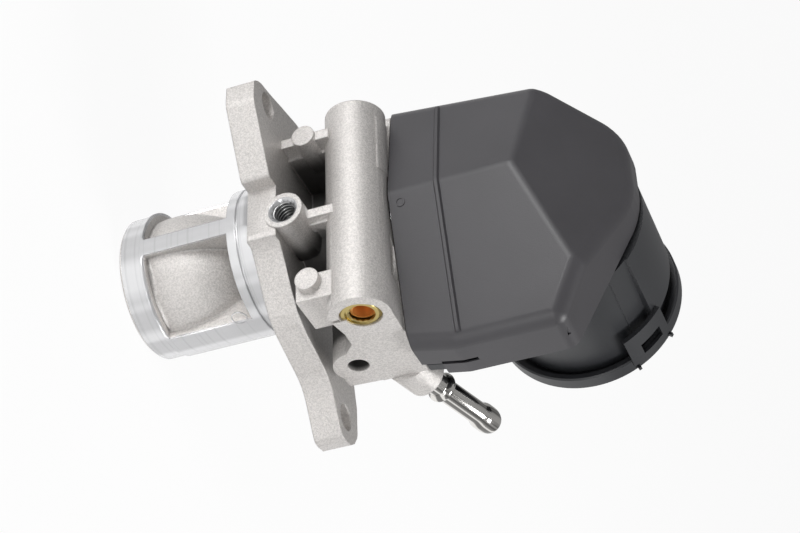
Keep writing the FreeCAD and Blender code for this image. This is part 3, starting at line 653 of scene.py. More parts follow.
@dataclass(frozen=True)
class Finishes:
    """Every finish of the valve."""

    cast: CastAluminium = CastAluminium("cast aluminium", (0.67, 0.645, 0.625, 1.0), 0.46, 0.6)
    steel: Turned = Turned("bright steel", (0.62, 0.62, 0.63, 1.0), 0.28, 1.0)
    thread: Turned = Turned("thread steel", (0.36, 0.36, 0.36, 1.0), 0.3, 1.0)
    valve: Turned = Turned("heat resistant steel", (0.42, 0.40, 0.37, 1.0), 0.32, 1.0)
    chrome: ReflectionStreaked = ReflectionStreaked("chrome plate", (0.80, 0.78, 0.75, 1.0), 0.12, 1.0)
    zinc: Grained = Grained("yellow zinc", (0.50, 0.40, 0.16, 1.0), 0.32, 1.0, fine=1500.0, depth=0.00001)
    cup: Grained = Grained("amber cup", (0.72, 0.34, 0.09, 1.0), 0.3, 0.5, fine=1500.0, depth=0.00001)
    bronze: Grained = Grained("sintered bronze", (0.55, 0.36, 0.16, 1.0), 0.4, 1.0, fine=3000.0)
    hood: Grained = Grained("grained hood plastic", (0.052, 0.050, 0.055, 1.0), 0.42, 0.0, 0.5, fine=3000.0,
                            coarse=1500.0, share=0.5, depth=0.00003, tone_depth=0.08)
    can: Grained = Grained("motor can plastic", (0.022, 0.023, 0.026, 1.0), 0.4, 0.0, 0.5, fine=2600.0,
                           depth=0.00002, tone_depth=0.1)
    gear: Grained = Grained("gear plastic", (0.70, 0.68, 0.60, 1.0), 0.4, 0.0, 0.5, depth=0.00001)
    rubber: Grained = Grained("seal rubber", (0.02, 0.02, 0.02, 1.0), 0.7, 0.0, 0.3)
    laminate: Turned = Turned("laminated steel", (0.35, 0.35, 0.36, 1.0), 0.4, 1.0, pitch=0.0005, axis=Axis.Y,
                              depth=0.00005)
    brass: Turned = Turned("machined brass", (0.70, 0.50, 0.20, 1.0), 0.25, 1.0, axis=Axis.Y)
    gold: Turned = Turned("plated pin", (0.85, 0.60, 0.22, 1.0), 0.2, 1.0, axis=Axis.Y)
    board: Grained = Grained("circuit board", (0.015, 0.11, 0.05, 1.0), 0.35, 0.0, 0.5, depth=0.00001)


class Wardrobe:
    """Builds each finish when it is first asked for."""

    def __init__(self) -> None:
        """Builds the shared effects."""
        self.effects = Effects()
        self.finishes = Finishes()
        self.made: dict[str, bpy.types.Material] = {}

    def get(self, name: str) -> bpy.types.Material:
        """Returns a finish's material by its field name."""
        if name not in self.made:
            self.made[name] = getattr(self.finishes, name).build(self.effects)
        return self.made[name]


# Mesh building
def placed(name: str, data: bpy.types.ID) -> bpy.types.Object:
    """Puts a new object with the given data in the scene."""
    made = bpy.data.objects.new(name, data)
    bpy.context.scene.collection.objects.link(made)
    return made


class Workshop:
    """Makes, places and counts pieces."""

    def __init__(self, frame: dict, wardrobe: Wardrobe) -> None:
        """Keeps the frame and the materials."""
        self.frame = frame
        self.wardrobe = wardrobe
        self.count = 0

    def dress(self, node: str, finish: str) -> None:
        """Gives a carried-over solid its material."""
        for slot in self.frame["nodes"][node].material_slots:
            slot.material = self.wardrobe.get(finish)
        log.info("dressed %s in %s", node, finish)

    def add(self, name: str, mesh: bpy.types.Mesh, finish: str | None) -> bpy.types.Object:
        """Turns a mesh into a piece that rides on the still body.

        Args:
            name: The piece's name.
            mesh: Its mesh, in place.
            finish: The finish's field name, or None where the mesh has its own.

        Returns:
            The new object.
        """
        piece = placed(name, mesh)
        if finish is not None:
            mesh.materials.clear()
            mesh.materials.append(self.wardrobe.get(finish))
        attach(piece, STILL_BODY)
        self.count += 1
        log.info("made %s, %d faces", name, len(mesh.polygons))
        return piece

    def turned(self, name: str, profile: Outline, steps: int, place: Matrix, finish: str) -> bpy.types.Object:
        """Adds a turned piece.

        Args:
            name: The piece's name.
            profile: Corners as radius and height in millimetres.
            steps: Faces round the axis.
            place: Where it goes.
            finish: The finish's field name.

        Returns:
            The new object.
        """
        mesh = mesh_of(name, turned_form(profile, steps))
        mesh.transform(place)
        return self.add(name, mesh, finish)


def mesh_of(name: str, build: Form, smooth_deg: float | None = 35.0) -> bpy.types.Mesh:
    """Makes a mesh with a bmesh function.

    Args:
        name: The mesh's name.
        build: The function that fills the bmesh.
        smooth_deg: Edges sharper than this stay sharp; None leaves every face flat.

    Returns:
        The mesh, with its normals outward.
    """
    work = bmesh.new()
    build(work)
    bmesh.ops.remove_doubles(work, verts=work.verts, dist=1e-7)
    bmesh.ops.recalc_face_normals(work, faces=work.faces)
    mesh = bpy.data.meshes.new(name)
    work.to_mesh(mesh)
    work.free()
    if smooth_deg is not None:
        mesh.shade_smooth()
        mesh.set_sharp_from_angle(angle=math.radians(smooth_deg))
    return mesh


def evaluated(mesh: bpy.types.Mesh, kind: str, inputs: dict[str, float] | None = None,
              **settings: object) -> bpy.types.Mesh:
    """Returns what one modifier makes of a mesh.

    Args:
        mesh: The mesh to start from.
        kind: The modifier's type.
        inputs: A node modifier's inputs, by identifier.
        settings: The modifier's properties.

    Returns:
        The new mesh.
    """
    holder = placed("shaped", mesh)
    modifier = holder.modifiers.new("shape", kind)
    for label, value in settings.items():
        setattr(modifier, label, value)
    for label, value in (inputs or {}).items():
        modifier[label] = value
    seen = holder.evaluated_get(bpy.context.evaluated_depsgraph_get())
    made = bpy.data.meshes.new_from_object(seen)
    bpy.data.objects.remove(holder)
    return made


def skin(work: Work, rings: Sequence[Sequence[Sequence[float]]], closed: bool) -> None:
    """Joins rings of points into a closed form.

    Args:
        work: Where it goes.
        rings: Points in metres, as many in each ring.
        closed: Whether the last ring meets the first; if not, both ends are capped.
    """
    made = [[work.verts.new(spot) for spot in ring] for ring in rings]
    count = len(made[0])
    for i in range(len(made) if closed else len(made) - 1):
        ahead = made[(i + 1) % len(made)]
        for j in range(count):
            k = (j + 1) % count
            work.faces.new([made[i][j], ahead[j], ahead[k], made[i][k]])
    if not closed:
        work.faces.new(made[0])
        work.faces.new(made[-1])


def drum(work: Work, first: Sequence[Vector], last: Sequence[Vector]) -> None:
    """Makes a closed form between two flat rings of points.

    Args:
        work: Where it goes.
        first: One ring, in metres.
        last: The other ring.
    """
    low, high = ([work.verts.new(spot) for spot in ring] for ring in (first, last))
    work.faces.new(low)
    work.faces.new(high)
    for i in range(len(low)):
        k = (i + 1) % len(low)
        work.faces.new([low[i], low[k], high[k], high[i]])


def toward(axis: Vector, at: Vector) -> Matrix:
    """Returns the matrix that turns local Z along an axis and moves the origin to a point."""
    return Matrix.Translation(at) @ axis.normalized().to_track_quat("Z", "Y").to_matrix().to_4x4()


def merged(source: bpy.types.Mesh) -> bpy.types.Mesh:
    """Returns a copy of a mesh of loose triangles with its doubles merged.

    Args:
        source: The mesh to copy.

    Returns:
        The merged copy.
    """
    mesh = source.copy()
    work = bmesh.new()
    work.from_mesh(mesh)
    bmesh.ops.remove_doubles(work, verts=work.verts, dist=1e-6)
    work.to_mesh(mesh)
    work.free()
    return mesh


def block_form(low: Spot, high: Spot) -> Form:
    """Returns a builder for a block between two corners in millimetres.

    Args:
        low: The corner with the least coordinates.
        high: The opposite corner.

    Returns:
        A function for mesh_of.
    """
    def build(work: Work) -> None:
        """Makes the block."""
        for vert in bmesh.ops.create_cube(work, size=1.0)["verts"]:
            vert.co = Vector([(a + b) / 2 + c * (b - a) for a, b, c in zip(low, high, vert.co)]) * MM

    return build


def prism_form(outline: Outline, low: float, high: float, axis: Axis = Axis.X) -> Form:
    """Returns a builder for a straight prism.

    Args:
        outline: Corners in millimetres, in the two directions other than the axis.
        low: Where the prism starts along the axis.
        high: Where it ends.
        axis: The axis that it runs along.

    Returns:
        A function for mesh_of.
    """
    def build(work: Work) -> None:
        """Makes both ends and the sides between them."""
        way = axis.value
        drum(work, *([Vector((*spot[:way], level, *spot[way:])) * MM for spot in outline]
                     for level in (low, high)))

    return build


def rod_form(radius: float, start: Spot, way: Spot, length: float, steps: int = 48,
             end_radius: float | None = None) -> Form:
    """Returns a builder for a round rod or a cone.

    Args:
        radius: The rod's radius in millimetres.
        start: The centre of its first end.
        way: The direction of its axis.
        length: Its length.
        steps: Faces round the axis.
        end_radius: The radius at its other end, where that differs.

    Returns:
        A function for mesh_of.
    """
    def build(work: Work) -> None:
        """Makes the rod.

        Args:
            work: Where the form goes.
        """
        turn = toward(Vector(way), Vector(start) * MM) @ Matrix.Scale(MM, 4)
        angles = [2 * math.pi * i / steps for i in range(steps)]
        drum(work, *([turn @ Vector((r * math.cos(a), r * math.sin(a), level)) for a in angles]
                     for r, level in ((radius, 0.0), (end_radius or radius, length))))

    return build


def turned_form(profile: Outline, steps: int, span: tuple[float, float] | None = None,
                place: Matrix | None = None) -> Form:
    """Returns a builder that turns a closed profile about Z.

    Args:
        profile: Corners as radius and height in millimetres.
        steps: Faces along the turn.
        span: The first and the last angle in degrees; None turns it all the way round.
        place: Where the form goes, in metres; None leaves it on the Z axis.

    Returns:
        A function for mesh_of.
    """
    def build(work: Work) -> None:
        """Spins the profile; a part turn is capped at both ends.

        Args:
            work: Where the form goes.
        """
        first, last = span or (0.0, 360.0)
        matrix = place or Matrix.Identity(4)
        rings = []
        for i in range(steps + 1 if span else steps):
            angle = math.radians(first + (last - first) * i / steps)
            rings.append([matrix @ Vector((r * math.cos(angle) * MM, r * math.sin(angle) * MM, z * MM))
                          for r, z in profile])
        skin(work, rings, closed=span is None)

    return build


class Carver:
    """Joins forms to a closed mesh and cuts forms out of it."""

    def __init__(self, mesh: bpy.types.Mesh) -> None:
        """Keeps the mesh that is carved."""
        self.mesh = mesh

    def join(self, build: Form) -> None:
        """Adds a form to the mesh."""
        self._apply(build, "UNION")

    def cut(self, build: Form) -> None:
        """Takes a form out of the mesh."""
        self._apply(build, "DIFFERENCE")

    def _apply(self, build: Form, operation: str) -> None:
        """Runs one boolean and keeps its result as the mesh.

        Args:
            build: The form's builder.
            operation: UNION or DIFFERENCE.
        """
        tool = placed("carving tool", mesh_of("carving tool", build, None))
        self.mesh = evaluated(self.mesh, "BOOLEAN", operation=operation, solver="EXACT", object=tool)
        bpy.data.objects.remove(tool)

    def _clean(self) -> None:
        """Merges stray corners and joins the flat faces that the carving split."""
        stray = 4e-6
        work = bmesh.new()
        work.from_mesh(self.mesh)
        bmesh.ops.remove_doubles(work, verts=work.verts, dist=stray)
        bmesh.ops.dissolve_degenerate(work, edges=work.edges, dist=stray)
        bmesh.ops.dissolve_limit(work, angle_limit=math.radians(0.4), verts=work.verts, edges=work.edges,
                                 use_dissolve_boundaries=False)
        work.to_mesh(self.mesh)
        work.free()

    def finished(self, smooth_deg: float, clean: bool = False) -> bpy.types.Mesh:
        """Evens out the shading and returns the mesh.

        Args:
            smooth_deg: Edges sharper than this stay sharp.
            clean: Whether flat faces are joined first.

        Returns:
            The mesh with area-weighted normals.
        """
        self.mesh.materials.clear()
        if clean:
            self._clean()
        self.mesh.shade_smooth()
        self.mesh.set_sharp_from_angle(angle=math.radians(smooth_deg))
        return evaluated(self.mesh, "WEIGHTED_NORMAL", keep_sharp=True, weight=80)


# Geometry Nodes
class NodeShape(Tree):
    """A Geometry Nodes tree with named inputs, used once and turned into a plain mesh."""

    def __init__(self, name: str, sizes: dict[str, float | int]) -> None:
        """Starts the tree.

        Args:
            name: The tree's name.
            sizes: Each named input and its value; whole numbers make integer inputs.
        """
        super().__init__(bpy.data.node_groups.new(name, "GeometryNodeTree"))
        self.tree.interface.new_socket("Geometry", in_out="OUTPUT", socket_type="NodeSocketGeometry")
        self.inputs: dict[str, float] = {}
        for label, value in sizes.items():
            kind = "NodeSocketInt" if isinstance(value, int) else "NodeSocketFloat"
            made = self.tree.interface.new_socket(label, in_out="INPUT", socket_type=kind)
            self.inputs[made.identifier] = value
        self.start = self.node("NodeGroupInput")
        self.end = self.node("NodeGroupOutput")

    def feed(self, node: bpy.types.Node, **sources: str) -> None:
        """Joins named sizes to a node's inputs; underscores stand for spaces."""
        for target, label in sources.items():
            self.join(self.start.outputs[label], node.inputs[target.replace("_", " ")])

    def plain(self, geometry: Socket, material: bpy.types.Material) -> bpy.types.Mesh:
        """Ends the tree and evaluates it.

        Args:
            geometry: The last geometry output.
            material: The material that the tree sets.

        Returns:
            A plain mesh with no modifier.
        """
        real = self.node("GeometryNodeRealizeInstances")
        paint = self.node("GeometryNodeSetMaterial")
        paint.inputs["Material"].default_value = material
        self.join(geometry, real.inputs[0])
        self.join(real.outputs[0], paint.inputs["Geometry"])
        self.join(paint.outputs[0], self.end.inputs[0])
        return evaluated(bpy.data.meshes.new(self.tree.name), "NODES", self.inputs, node_group=self.tree)


def thread_mesh(name: str, radius: float, pitch: float, length: float,
                material: bpy.types.Material) -> bpy.types.Mesh:
    """Makes the ridge of a screw thread as a node-built helix about Z.

    Args:
        name: The tree's name.
        radius: The helix's radius in metres.
        pitch: The rise of a turn.
        length: The thread's length.
        material: What the ridge is made of.

    Returns:
        The ridge's mesh, starting at the origin.
    """
    sizes = {"Radius": radius, "Turns": length / pitch, "Length": length, "Ridge": pitch * 0.42, "Steps": 48}
    shape = NodeShape(name, sizes)
    spiral = shape.node("GeometryNodeCurveSpiral")
    shape.feed(spiral, Resolution="Steps", Rotations="Turns", Start_Radius="Radius", End_Radius="Radius",
               Height="Length")
    ring = shape.node("GeometryNodeCurvePrimitiveCircle")
    ring.inputs["Resolution"].default_value = 6
    shape.feed(ring, Radius="Ridge")
    sweep = shape.node("GeometryNodeCurveToMesh")
    sweep.inputs["Fill Caps"].default_value = True
    shape.join(spiral.outputs[0], sweep.inputs["Curve"])
    shape.join(ring.outputs[0], sweep.inputs["Profile Curve"])
    return shape.plain(sweep.outputs[0], material)


# Sub-assemblies
@dataclass
class Casting:
    """The aluminium body with its plug, thread and pipe. Sizes and outlines are millimetres."""

    shop: Workshop
    boss: Spot = (4.0, -26.0, 11.5)
    boss_r: float = 6.0
    thread_r: float = 3.4
    thread_pitch: float = 1.25
    thread_len: float = 12.0
    tube_y: float = -13.0
    tube_z: float = 29.6
    tube_r: float = 9.2
    pad_x: float = -30.0
    pad_lifts: tuple[float, float] = (62.0, 100.0)
    plug_z: float = 30.6
    plug_r: float = 5.5
    tube_bore_r: float = 5.2
    cross_bore: Spot = (3.2, 10.5, 19.7)
    deck_hole_r: float = 2.0
    end_x: float = 38.0
    end_round: tuple[float, Spot] = (7.6, (24.2, 11.2, 19.6))
    flange_t: float = 9.0
    pipe_root: Spot = (33.0, 18.0, 29.5)
    pipe_lean: float = 15.5
    core_profile: Outline = ((12.6, 20.2), (16.6, 20.2))
    cores: tuple[tuple[float, float, Spot], ...] = (
        (30.6, -13.6, (39.5, 7.4, 23.5)), (24.7, -13.6, (25.45, 7.4, 23.5)), (25.3, -6.0, (31.0, 15.0, 23.5)),
        (25.3, -17.0, (31.0, -5.9, 12.6)))
    upper_lug: Outline = ((-28.0, -43.4), (-30.6, -43.1), (-32.8, -42.2), (-34.6, -40.6), (-36.0, -38.6),
                          (-36.9, -36.2), (-37.3, -33.0), (-37.9, -29.0), (-39.3, -21.9), (-41.45, -9.7),
                          (-41.6, -5.0), (-50.0, -5.0), (-50.0, -50.0), (-28.0, -50.0))
    lower_lug: Outline = ((48.4, 16.8), (50.6, 19.6), (51.9, 23.0), (52.2, 26.5), (51.6, 30.4), (49.6, 33.4),
                          (46.4, 35.6), (43.0, 36.4), (60.0, 44.0), (60.0, 15.0))
    near_side: Outline = ((12.0, -22.3), (16.8, -18.4), (22.9, -14.1), (28.6, -9.1), (32.5, -2.4),
                          (34.3, 4.2), (36.4, 10.6), (50.0, 5.0), (50.0, -40.0), (12.0, -40.0))
    end_outline: Outline = ((-12.5, 21.0), (-6.0, 22.2), (-0.4, 22.0), (5.9, 16.7), (11.0, 14.2),
                            (16.2, 13.1), (20.0, 13.2), (21.0, 28.5), (20.5, 35.0), (9.2, 37.2),
                            (1.2, 38.3), (-12.5, 38.6))
    pipe_profile: Outline = (
        (2.5, 0.0), (3.65, 0.0), (3.65, 16.2), (4.25, 16.7), (4.7, 17.4), (4.85, 18.0), (4.7, 18.6),
        (4.25, 19.3), (3.65, 19.8), (3.65, 36.4), (3.8, 37.2), (4.15, 38.2), (4.4, 39.2), (4.45, 40.0),
        (4.45, 42.2), (4.35, 43.2), (4.1, 44.2), (3.7, 45.1), (3.2, 45.7), (2.8, 45.9), (2.5, 45.7))

    def build(self) -> None:
        """Makes the body and the small parts, and dresses the solids."""
        self.body()
        self.shop.dress("core_plug", "zinc")
        self.hose_pipe()
        self.thread()
        self.plug_cup()
        self.ejector_mark()

    def body(self) -> None:
        """Carves the casting, one step after the other, adds it as a piece and hides the valve body's solid.
        """
        carver = Carver(merged(self.shop.frame["nodes"]["valve_body"].data))
        for step in (self.pockets, self.flange_edges, self.ribs, self.end_block, self.near_boss,
                     self.tube_pad):
            step(carver)
        piece = self.shop.add("cast_body", carver.finished(32.0, clean=True), "cast")
        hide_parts("valve_body")

    def pockets(self, carver: Carver) -> None:
        """Takes the wide core and the broad rib away in front.

        Args:
            carver: What carves the casting.
        """
        floor = self.flange_t + 0.02
        carver.cut(turned_form([(9.6, floor), *self.core_profile, (16.6, floor)], 48, (176, 364)))
        for x, y, high in self.cores:
            carver.cut(block_form((x, y, floor), high))

    def flange_edges(self, carver: Carver) -> None:
        """Trims the two lugs' ends and the flange's near side to their real outlines."""
        for outline, top in ((self.upper_lug, 10.0), (self.lower_lug, 10.0), (self.near_side, 9.3)):
            carver.cut(prism_form(outline, -1.0, top, Axis.Z))

    def ribs(self, carver: Carver) -> None:
        """Adds the walls between the posts, the boss and the tube.

        Args:
            carver: What carves the casting.
        """
        root = self.flange_t - 0.5
        for low, high in (((-26.1, -21.5, root), (-22.9, -10.0, 24.0)),
                          ((25.0, -20.4, 13.2), (33.6, -6.0, 24.0)),
                          ((2.5, -21.3, root), (5.5, -8.0, 25.0))):
            carver.join(block_form(low, high))

    def end_block(self, carver: Carver) -> None:
        """Adds the block with one flat end face and its round lower side, and bores it.

        Args:
            carver: What carves the casting.
        """
        way, end = (1, 0, 0), self.end_x
        round_r, round_start = self.end_round
        bore_r, *bore_centre = self.cross_bore
        carver.join(rod_form(round_r, round_start, way, end - 23.0, 64))
        carver.join(prism_form(self.end_outline, 24.5, end + 0.6))
        carver.cut(block_form((end, -30.0, self.flange_t + 0.6), (46.0, 21.3, 38.69)))
        carver.cut(rod_form(self.plug_r, (end - 9.0, self.tube_y, self.plug_z), way, 10.0))
        carver.cut(rod_form(self.tube_bore_r, (20.0, self.tube_y, self.tube_z), way, 10.0))
        carver.cut(rod_form(bore_r, (end - 12.0, *bore_centre), way, 13.0))
        carver.cut(rod_form(self.deck_hole_r, (29.5, 9.0, 30.0), (0, 0, 1), 10.0, 24))

    def near_boss(self, carver: Carver) -> None:
        """Runs the threaded boss back to the core, bores it and chamfers its mouth.

        Args:
            carver: What carves the casting.
        """
        x, y, z = self.boss
        way = (0, 1, 0)
        carver.join(rod_form(self.boss_r - 0.01, (x, y + 8.0, z), way, 10.0))
        carver.cut(rod_form(self.thread_r, (x, y - 1.0, z), way, 16.0, 32))
        carver.cut(rod_form(4.45, (x, y - 0.05, z), way, 0.95, 48, 3.4))

    def tube_pad(self, carver: Carver) -> None:
        """Raises the plain pad on the tube's side.

        Args:
            carver: What carves the casting.
        """
        along = toward(Vector((1, 0, 0)), Vector((self.pad_x, self.tube_y, self.tube_z)) * MM)
        low, high = self.tube_r - 1.0, self.tube_r + 0.3
        profile = [(low, 0.0), (high, 0.6), (high, 20.2), (low, 20.8)]
        carver.join(turned_form(profile, 12, self.pad_angles(along), along))

    def pad_angles(self, along: Matrix) -> tuple[float, float]:
        """Returns the pad's first and last angle about the tube, in the placed form's own turn.

        Args:
            along: The matrix that places the form on the tube.

        Returns:
            The two angles in degrees.
        """
        inverse = along.to_3x3().inverted()
        angles = []
        for lift in self.pad_lifts:
            local = inverse @ Vector((0.0, -math.cos(math.radians(lift)), math.sin(math.radians(lift))))
            angles.append(math.degrees(math.atan2(local.y, local.x)))
        low, high = sorted(angles)
        return (low, high) if high - low < 180 else (high, low + 360)

    def thread(self) -> None:
        """Cuts the look of an M8 thread into the near boss."""
        steel = self.shop.wardrobe.get("thread")
        sizes = (value * MM for value in (self.thread_r, self.thread_pitch, self.thread_len))
        mesh = thread_mesh("boss thread", *sizes, steel)
        deep = (Vector(self.boss) + Vector((0, self.thread_len + 1.2, 0))) * MM
        mesh.transform(toward(Vector((0, -1, 0)), deep))
        self.shop.add("boss_thread", mesh, None)

    def plug_cup(self) -> None:
        """Sets the amber cup and the scalloped rim inside the plated plug."""
        r = self.plug_r
        at = toward(Vector((1, 0, 0)), Vector((self.end_x - 0.9, self.tube_y, self.plug_z)) * MM)
        profile = [(0.0, -5.6), (r - 1.9, -5.6), (r - 1.75, -0.9), (r - 2.4, -0.7), (r - 2.6, -4.9),
                   (0.0, -5.0)]
        self.shop.turned("plug_cup", profile, 48, at, "cup")
        rim = mesh_of("plug_rim", scalloped_ring(r - 0.1, r - 1.5, 16))
        rim.transform(at)
        self.shop.add("plug_rim", rim, "zinc")

    def hose_pipe(self) -> None:
        """Makes the chromed pipe with its round bead and its bulb end."""
        lean = math.radians(self.pipe_lean)
        axis = Vector((0, math.cos(lean), math.sin(lean)))
        root = (Vector(self.pipe_root) + axis * 4.0) * MM
        piece = self.shop.turned("hose_pipe", self.pipe_profile, 72, toward(axis, root), "chrome")
        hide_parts("coolant_pipe")

    def ejector_mark(self) -> None:
        """Leaves the round mark of an ejector pin on the spigot's broad web."""
        way = Vector((22.0, -4.6, 0.0)).normalized()
        at = toward(way, (way * 22.35 + Vector((0, 0, -11.8))) * MM)
        self.shop.turned("ejector_mark", [(2.1, 0.0), (2.45, 0.0), (2.4, 0.35), (2.2, 0.35)], 36, at, "cast")


def scalloped_ring(outer: float, inner: float, lobes: int) -> Form:
    """Returns a builder for a thin crimped ring whose inner edge is scalloped.

    Args:
        outer: The outer radius in millimetres.
        inner: The mean inner radius.
        lobes: How many scallops the inner edge has.

    Returns:
        A function for mesh_of.
    """
    def build(work: Work) -> None:
        """Makes rings of the crimp's section, waved by the angle.

        Args:
            work: Where the form goes.
        """
        steps = lobes * 8
        rings = []
        for i in range(steps):
            angle = 2 * math.pi * i / steps
            wave = 0.1 * math.cos(lobes * angle)
            section = [(outer, -0.9), (outer, -0.15), (inner + 0.5, 0.25 + wave * 0.5), (inner + wave, 0.05),
                       (inner + wave + 0.2, -0.9)]
            rings.append([(r * math.cos(angle) * MM, r * math.sin(angle) * MM, z * MM) for r, z in section])
        skin(work, rings, closed=True)

    return build


@dataclass
class Mechanism:
    """The poppet, its spring and link, the gears and the motor."""

    shop: Workshop
    dresses: dict[str, str] = field(default_factory=lambda: {
        "valve": "valve_seat_ring poppet_valve",
        "bronze": "stem_guide_bush",
        "rubber": "stem_seal housing_gasket",
        "steel": "seal_cap spring_retainer return_spring stem_link roller_pin cam_roller "
                 "output_gear_shaft intermediate_shaft motor_front_bearing motor_rear_bearing "
                 "actuator_screw_1 actuator_screw_2 actuator_screw_3 actuator_screw_4",
        "gear": "output_gear intermediate_gear",
        "brass": "motor_pinion",
        "laminate": "motor_rotor motor_stator",
        "board": "sensor_board",
        "gold": "connector_pin_1 connector_pin_2 connector_pin_3 connector_pin_4 connector_pin_5"})

    def build(self) -> None:
        """Dresses the inner solids."""
        for finish, nodes in self.dresses.items():
            for node in nodes.split():
                self.shop.dress(node, finish)


@dataclass
class Hood:
    """The moulded hood: a thin shell of flat planes with soft corners. Sizes are millimetres."""

    shop: Workshop
    low_z: float = 39.2
    skirt_y: float = 16.0
    plan: Outline = ((-40.0, 39.2), (-34.2, 85.5), (-19.5, 107.2), (5.5, 107.2), (45.2, 83.9), (45.2, 52.0),
                     (42.8, 39.2))
    plan_rounds: tuple[float, ...] = (0.0, 12.0, 16.0, 28.0, 5.2, 0.0, 0.0)
    ridge: tuple[float, float] = (-3.0, -13.0)
    left_slope: float = 0.167
    right_slope: float = 0.268
    hip_z: float = 77.0
    hip_slope: float = 0.66
    edge_round: float = 5.2
    open_reach: float = 6.0
    wall: float = 2.0
    bead_z: float = 54.2
    bead_lines: tuple[float, ...] = (-0.95, -0.45, 0.45, 0.95)
    bead_height: float = 0.8
    slots: tuple[tuple[Spot, Spot], ...] = (((36.5, 10.6, 30.0), (50.0, 20.0, 45.4)),
                                            ((41.0, 9.5, 45.4), (50.0, 11.0, 56.4)))
    notch: Outline = ((9.9, 84.6), (6.2, 83.6), (9.9, 82.9))
    mark_profile: Outline = ((1.0, -0.3), (1.5, -0.3), (1.45, 0.22), (1.05, 0.22))

    def build(self) -> None:
        """Makes the shell with its slot and notch, adds it as a piece and hides the hood's solid."""
        carver = Carver(self.shell())
        for low, high in self.slots:
            carver.cut(block_form(low, high))
        carver.cut(prism_form(self.notch, 44.2, 47.0))
        piece = self.shop.add("hood_shell", carver.finished(28.0), "hood")
        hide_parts("cover_hood")
        self.mark()

    def planes(self) -> list[tuple[Vector, float]]:
        """Returns the hood's planes as outward normals and distances.

        Returns:
            Each plane's outward normal and its distance from the origin.
        """
        ridge_x, ridge_y = self.ridge
        sides = []
        for (ax, az), (bx, bz) in zip(self.plan, self.plan[1:]):
            normal = Vector((az - bz, 0, bx - ax)).normalized()
            sides.append((normal, normal.dot(Vector((ax, 0, az)))))
        found = [(Vector((0, 1, 0)), self.skirt_y), (Vector((0, 0, -1)), -self.low_z), *sides]
        for (n1, _), (n2, _), (x, z), radius in zip(sides, sides[1:], self.plan[1:], self.plan_rounds[1:]):
            if radius > self.edge_round:
                half = n1.angle(n2) / 2
                centre = Vector((x, 0, z)) - (n1 + n2).normalized() * (radius / math.cos(half))
                steps = max(2, round(math.degrees(2 * half) / 7))
                for i in range(1, steps):
                    normal = n1.slerp(n2, i / steps)
                    found.append((normal, normal.dot(centre) + radius))
        for way, height in (((-self.left_slope, -1, 0), 0), ((self.right_slope, -1, 0), 0),
                            ((0, -1, self.hip_slope), self.hip_z)):
            normal = Vector(way).normalized()
            found.append((normal, normal.dot(Vector((ridge_x, ridge_y, height)))))
        return found

    def corners(self) -> list[Vector]:
        """Returns the corners of the solid that the planes enclose, set in by the edge radius.

        Returns:
            The corners in millimetres.
        """
        planes = []
        for normal, reach in self.planes():
            opened = normal.z < -0.99 or normal.y > 0.99
            planes.append((normal, reach + (self.open_reach if opened else -self.edge_round)))
        spots = []
        for (n1, d1), (n2, d2), (n3, d3) in combinations(planes, 3):
            rows = Matrix((n1, n2, n3))
            if abs(rows.determinant()) < 1e-6:
                continue
            spot = rows.inverted() @ Vector((d1, d2, d3))
            if all(n.dot(spot) <= d + 1e-4 for n, d in planes):
                spots.append(spot)
        return spots

    def shell(self) -> bpy.types.Mesh:
        """Builds the hull of a ball at each corner, opens it, adds the bead and gives it its wall.

        Returns:
            The open shell's mesh, with its wall.
        """
        work = bmesh.new()
        for spot in self.corners():
            bmesh.ops.create_icosphere(work, subdivisions=4, radius=self.edge_round * MM,
                                       matrix=Matrix.Translation(spot * MM))
        points = [v.co.copy() for v in work.verts]
        work.clear()
        for point in points:
            work.verts.new(point)
        hull = bmesh.ops.convex_hull(work, input=work.verts)
        spare = {v for v in hull["geom_interior"] if isinstance(v, bmesh.types.BMVert)}
        bmesh.ops.delete(work, geom=list(spare), context="VERTS")
        bmesh.ops.recalc_face_normals(work, faces=work.faces)
        self.split(work, Vector((0, 0, self.low_z)), Vector((0, 0, -1)), opened=True)
        self.split(work, Vector((0, self.skirt_y, 0)), Vector((0, 1, 0)), opened=True)
        self.bead(work)
        mesh = bpy.data.meshes.new("hood shell")
        work.to_mesh(mesh)
        work.free()
        return evaluated(mesh, "SOLIDIFY", thickness=self.wall * MM, offset=-1.0, thickness_clamp=1.0)

    def split(self, work: Work, spot: Vector, normal: Vector, opened: bool = False) -> None:
        """Splits the hull's faces along a plane.

        Args:
            work: The hull.
            spot: A point of the plane in millimetres.
            normal: Its direction.
            opened: Whether the faces past the plane are taken away.
        """
        bmesh.ops.bisect_plane(work, geom=[*work.verts, *work.edges, *work.faces], dist=1e-7,
                               plane_co=spot * MM, plane_no=normal, clear_outer=opened)

    def bead(self, work: Work) -> None:
        """Raises the narrow bead across the roof.

        Args:
            work: Where the form goes.
        """
        for offset in self.bead_lines:
            self.split(work, Vector((0, 0, self.bead_z + offset)), Vector((0, 0, 1)))
        work.normal_update()
        for vert in work.verts:
            if abs(vert.co.z - self.bead_z * MM) < 0.6 * MM and vert.normal.y < -0.9:
                vert.co.y -= self.bead_height * MM

    def mark(self) -> None:
        """Leaves the small round moulding mark near the hood's edge."""
        at = toward(Vector((self.right_slope, -1.0, 0.0)), Vector((0.7, -12.0, 42.6)) * MM)
        self.shop.turned("hood_mark", self.mark_profile, 28, at, "hood")


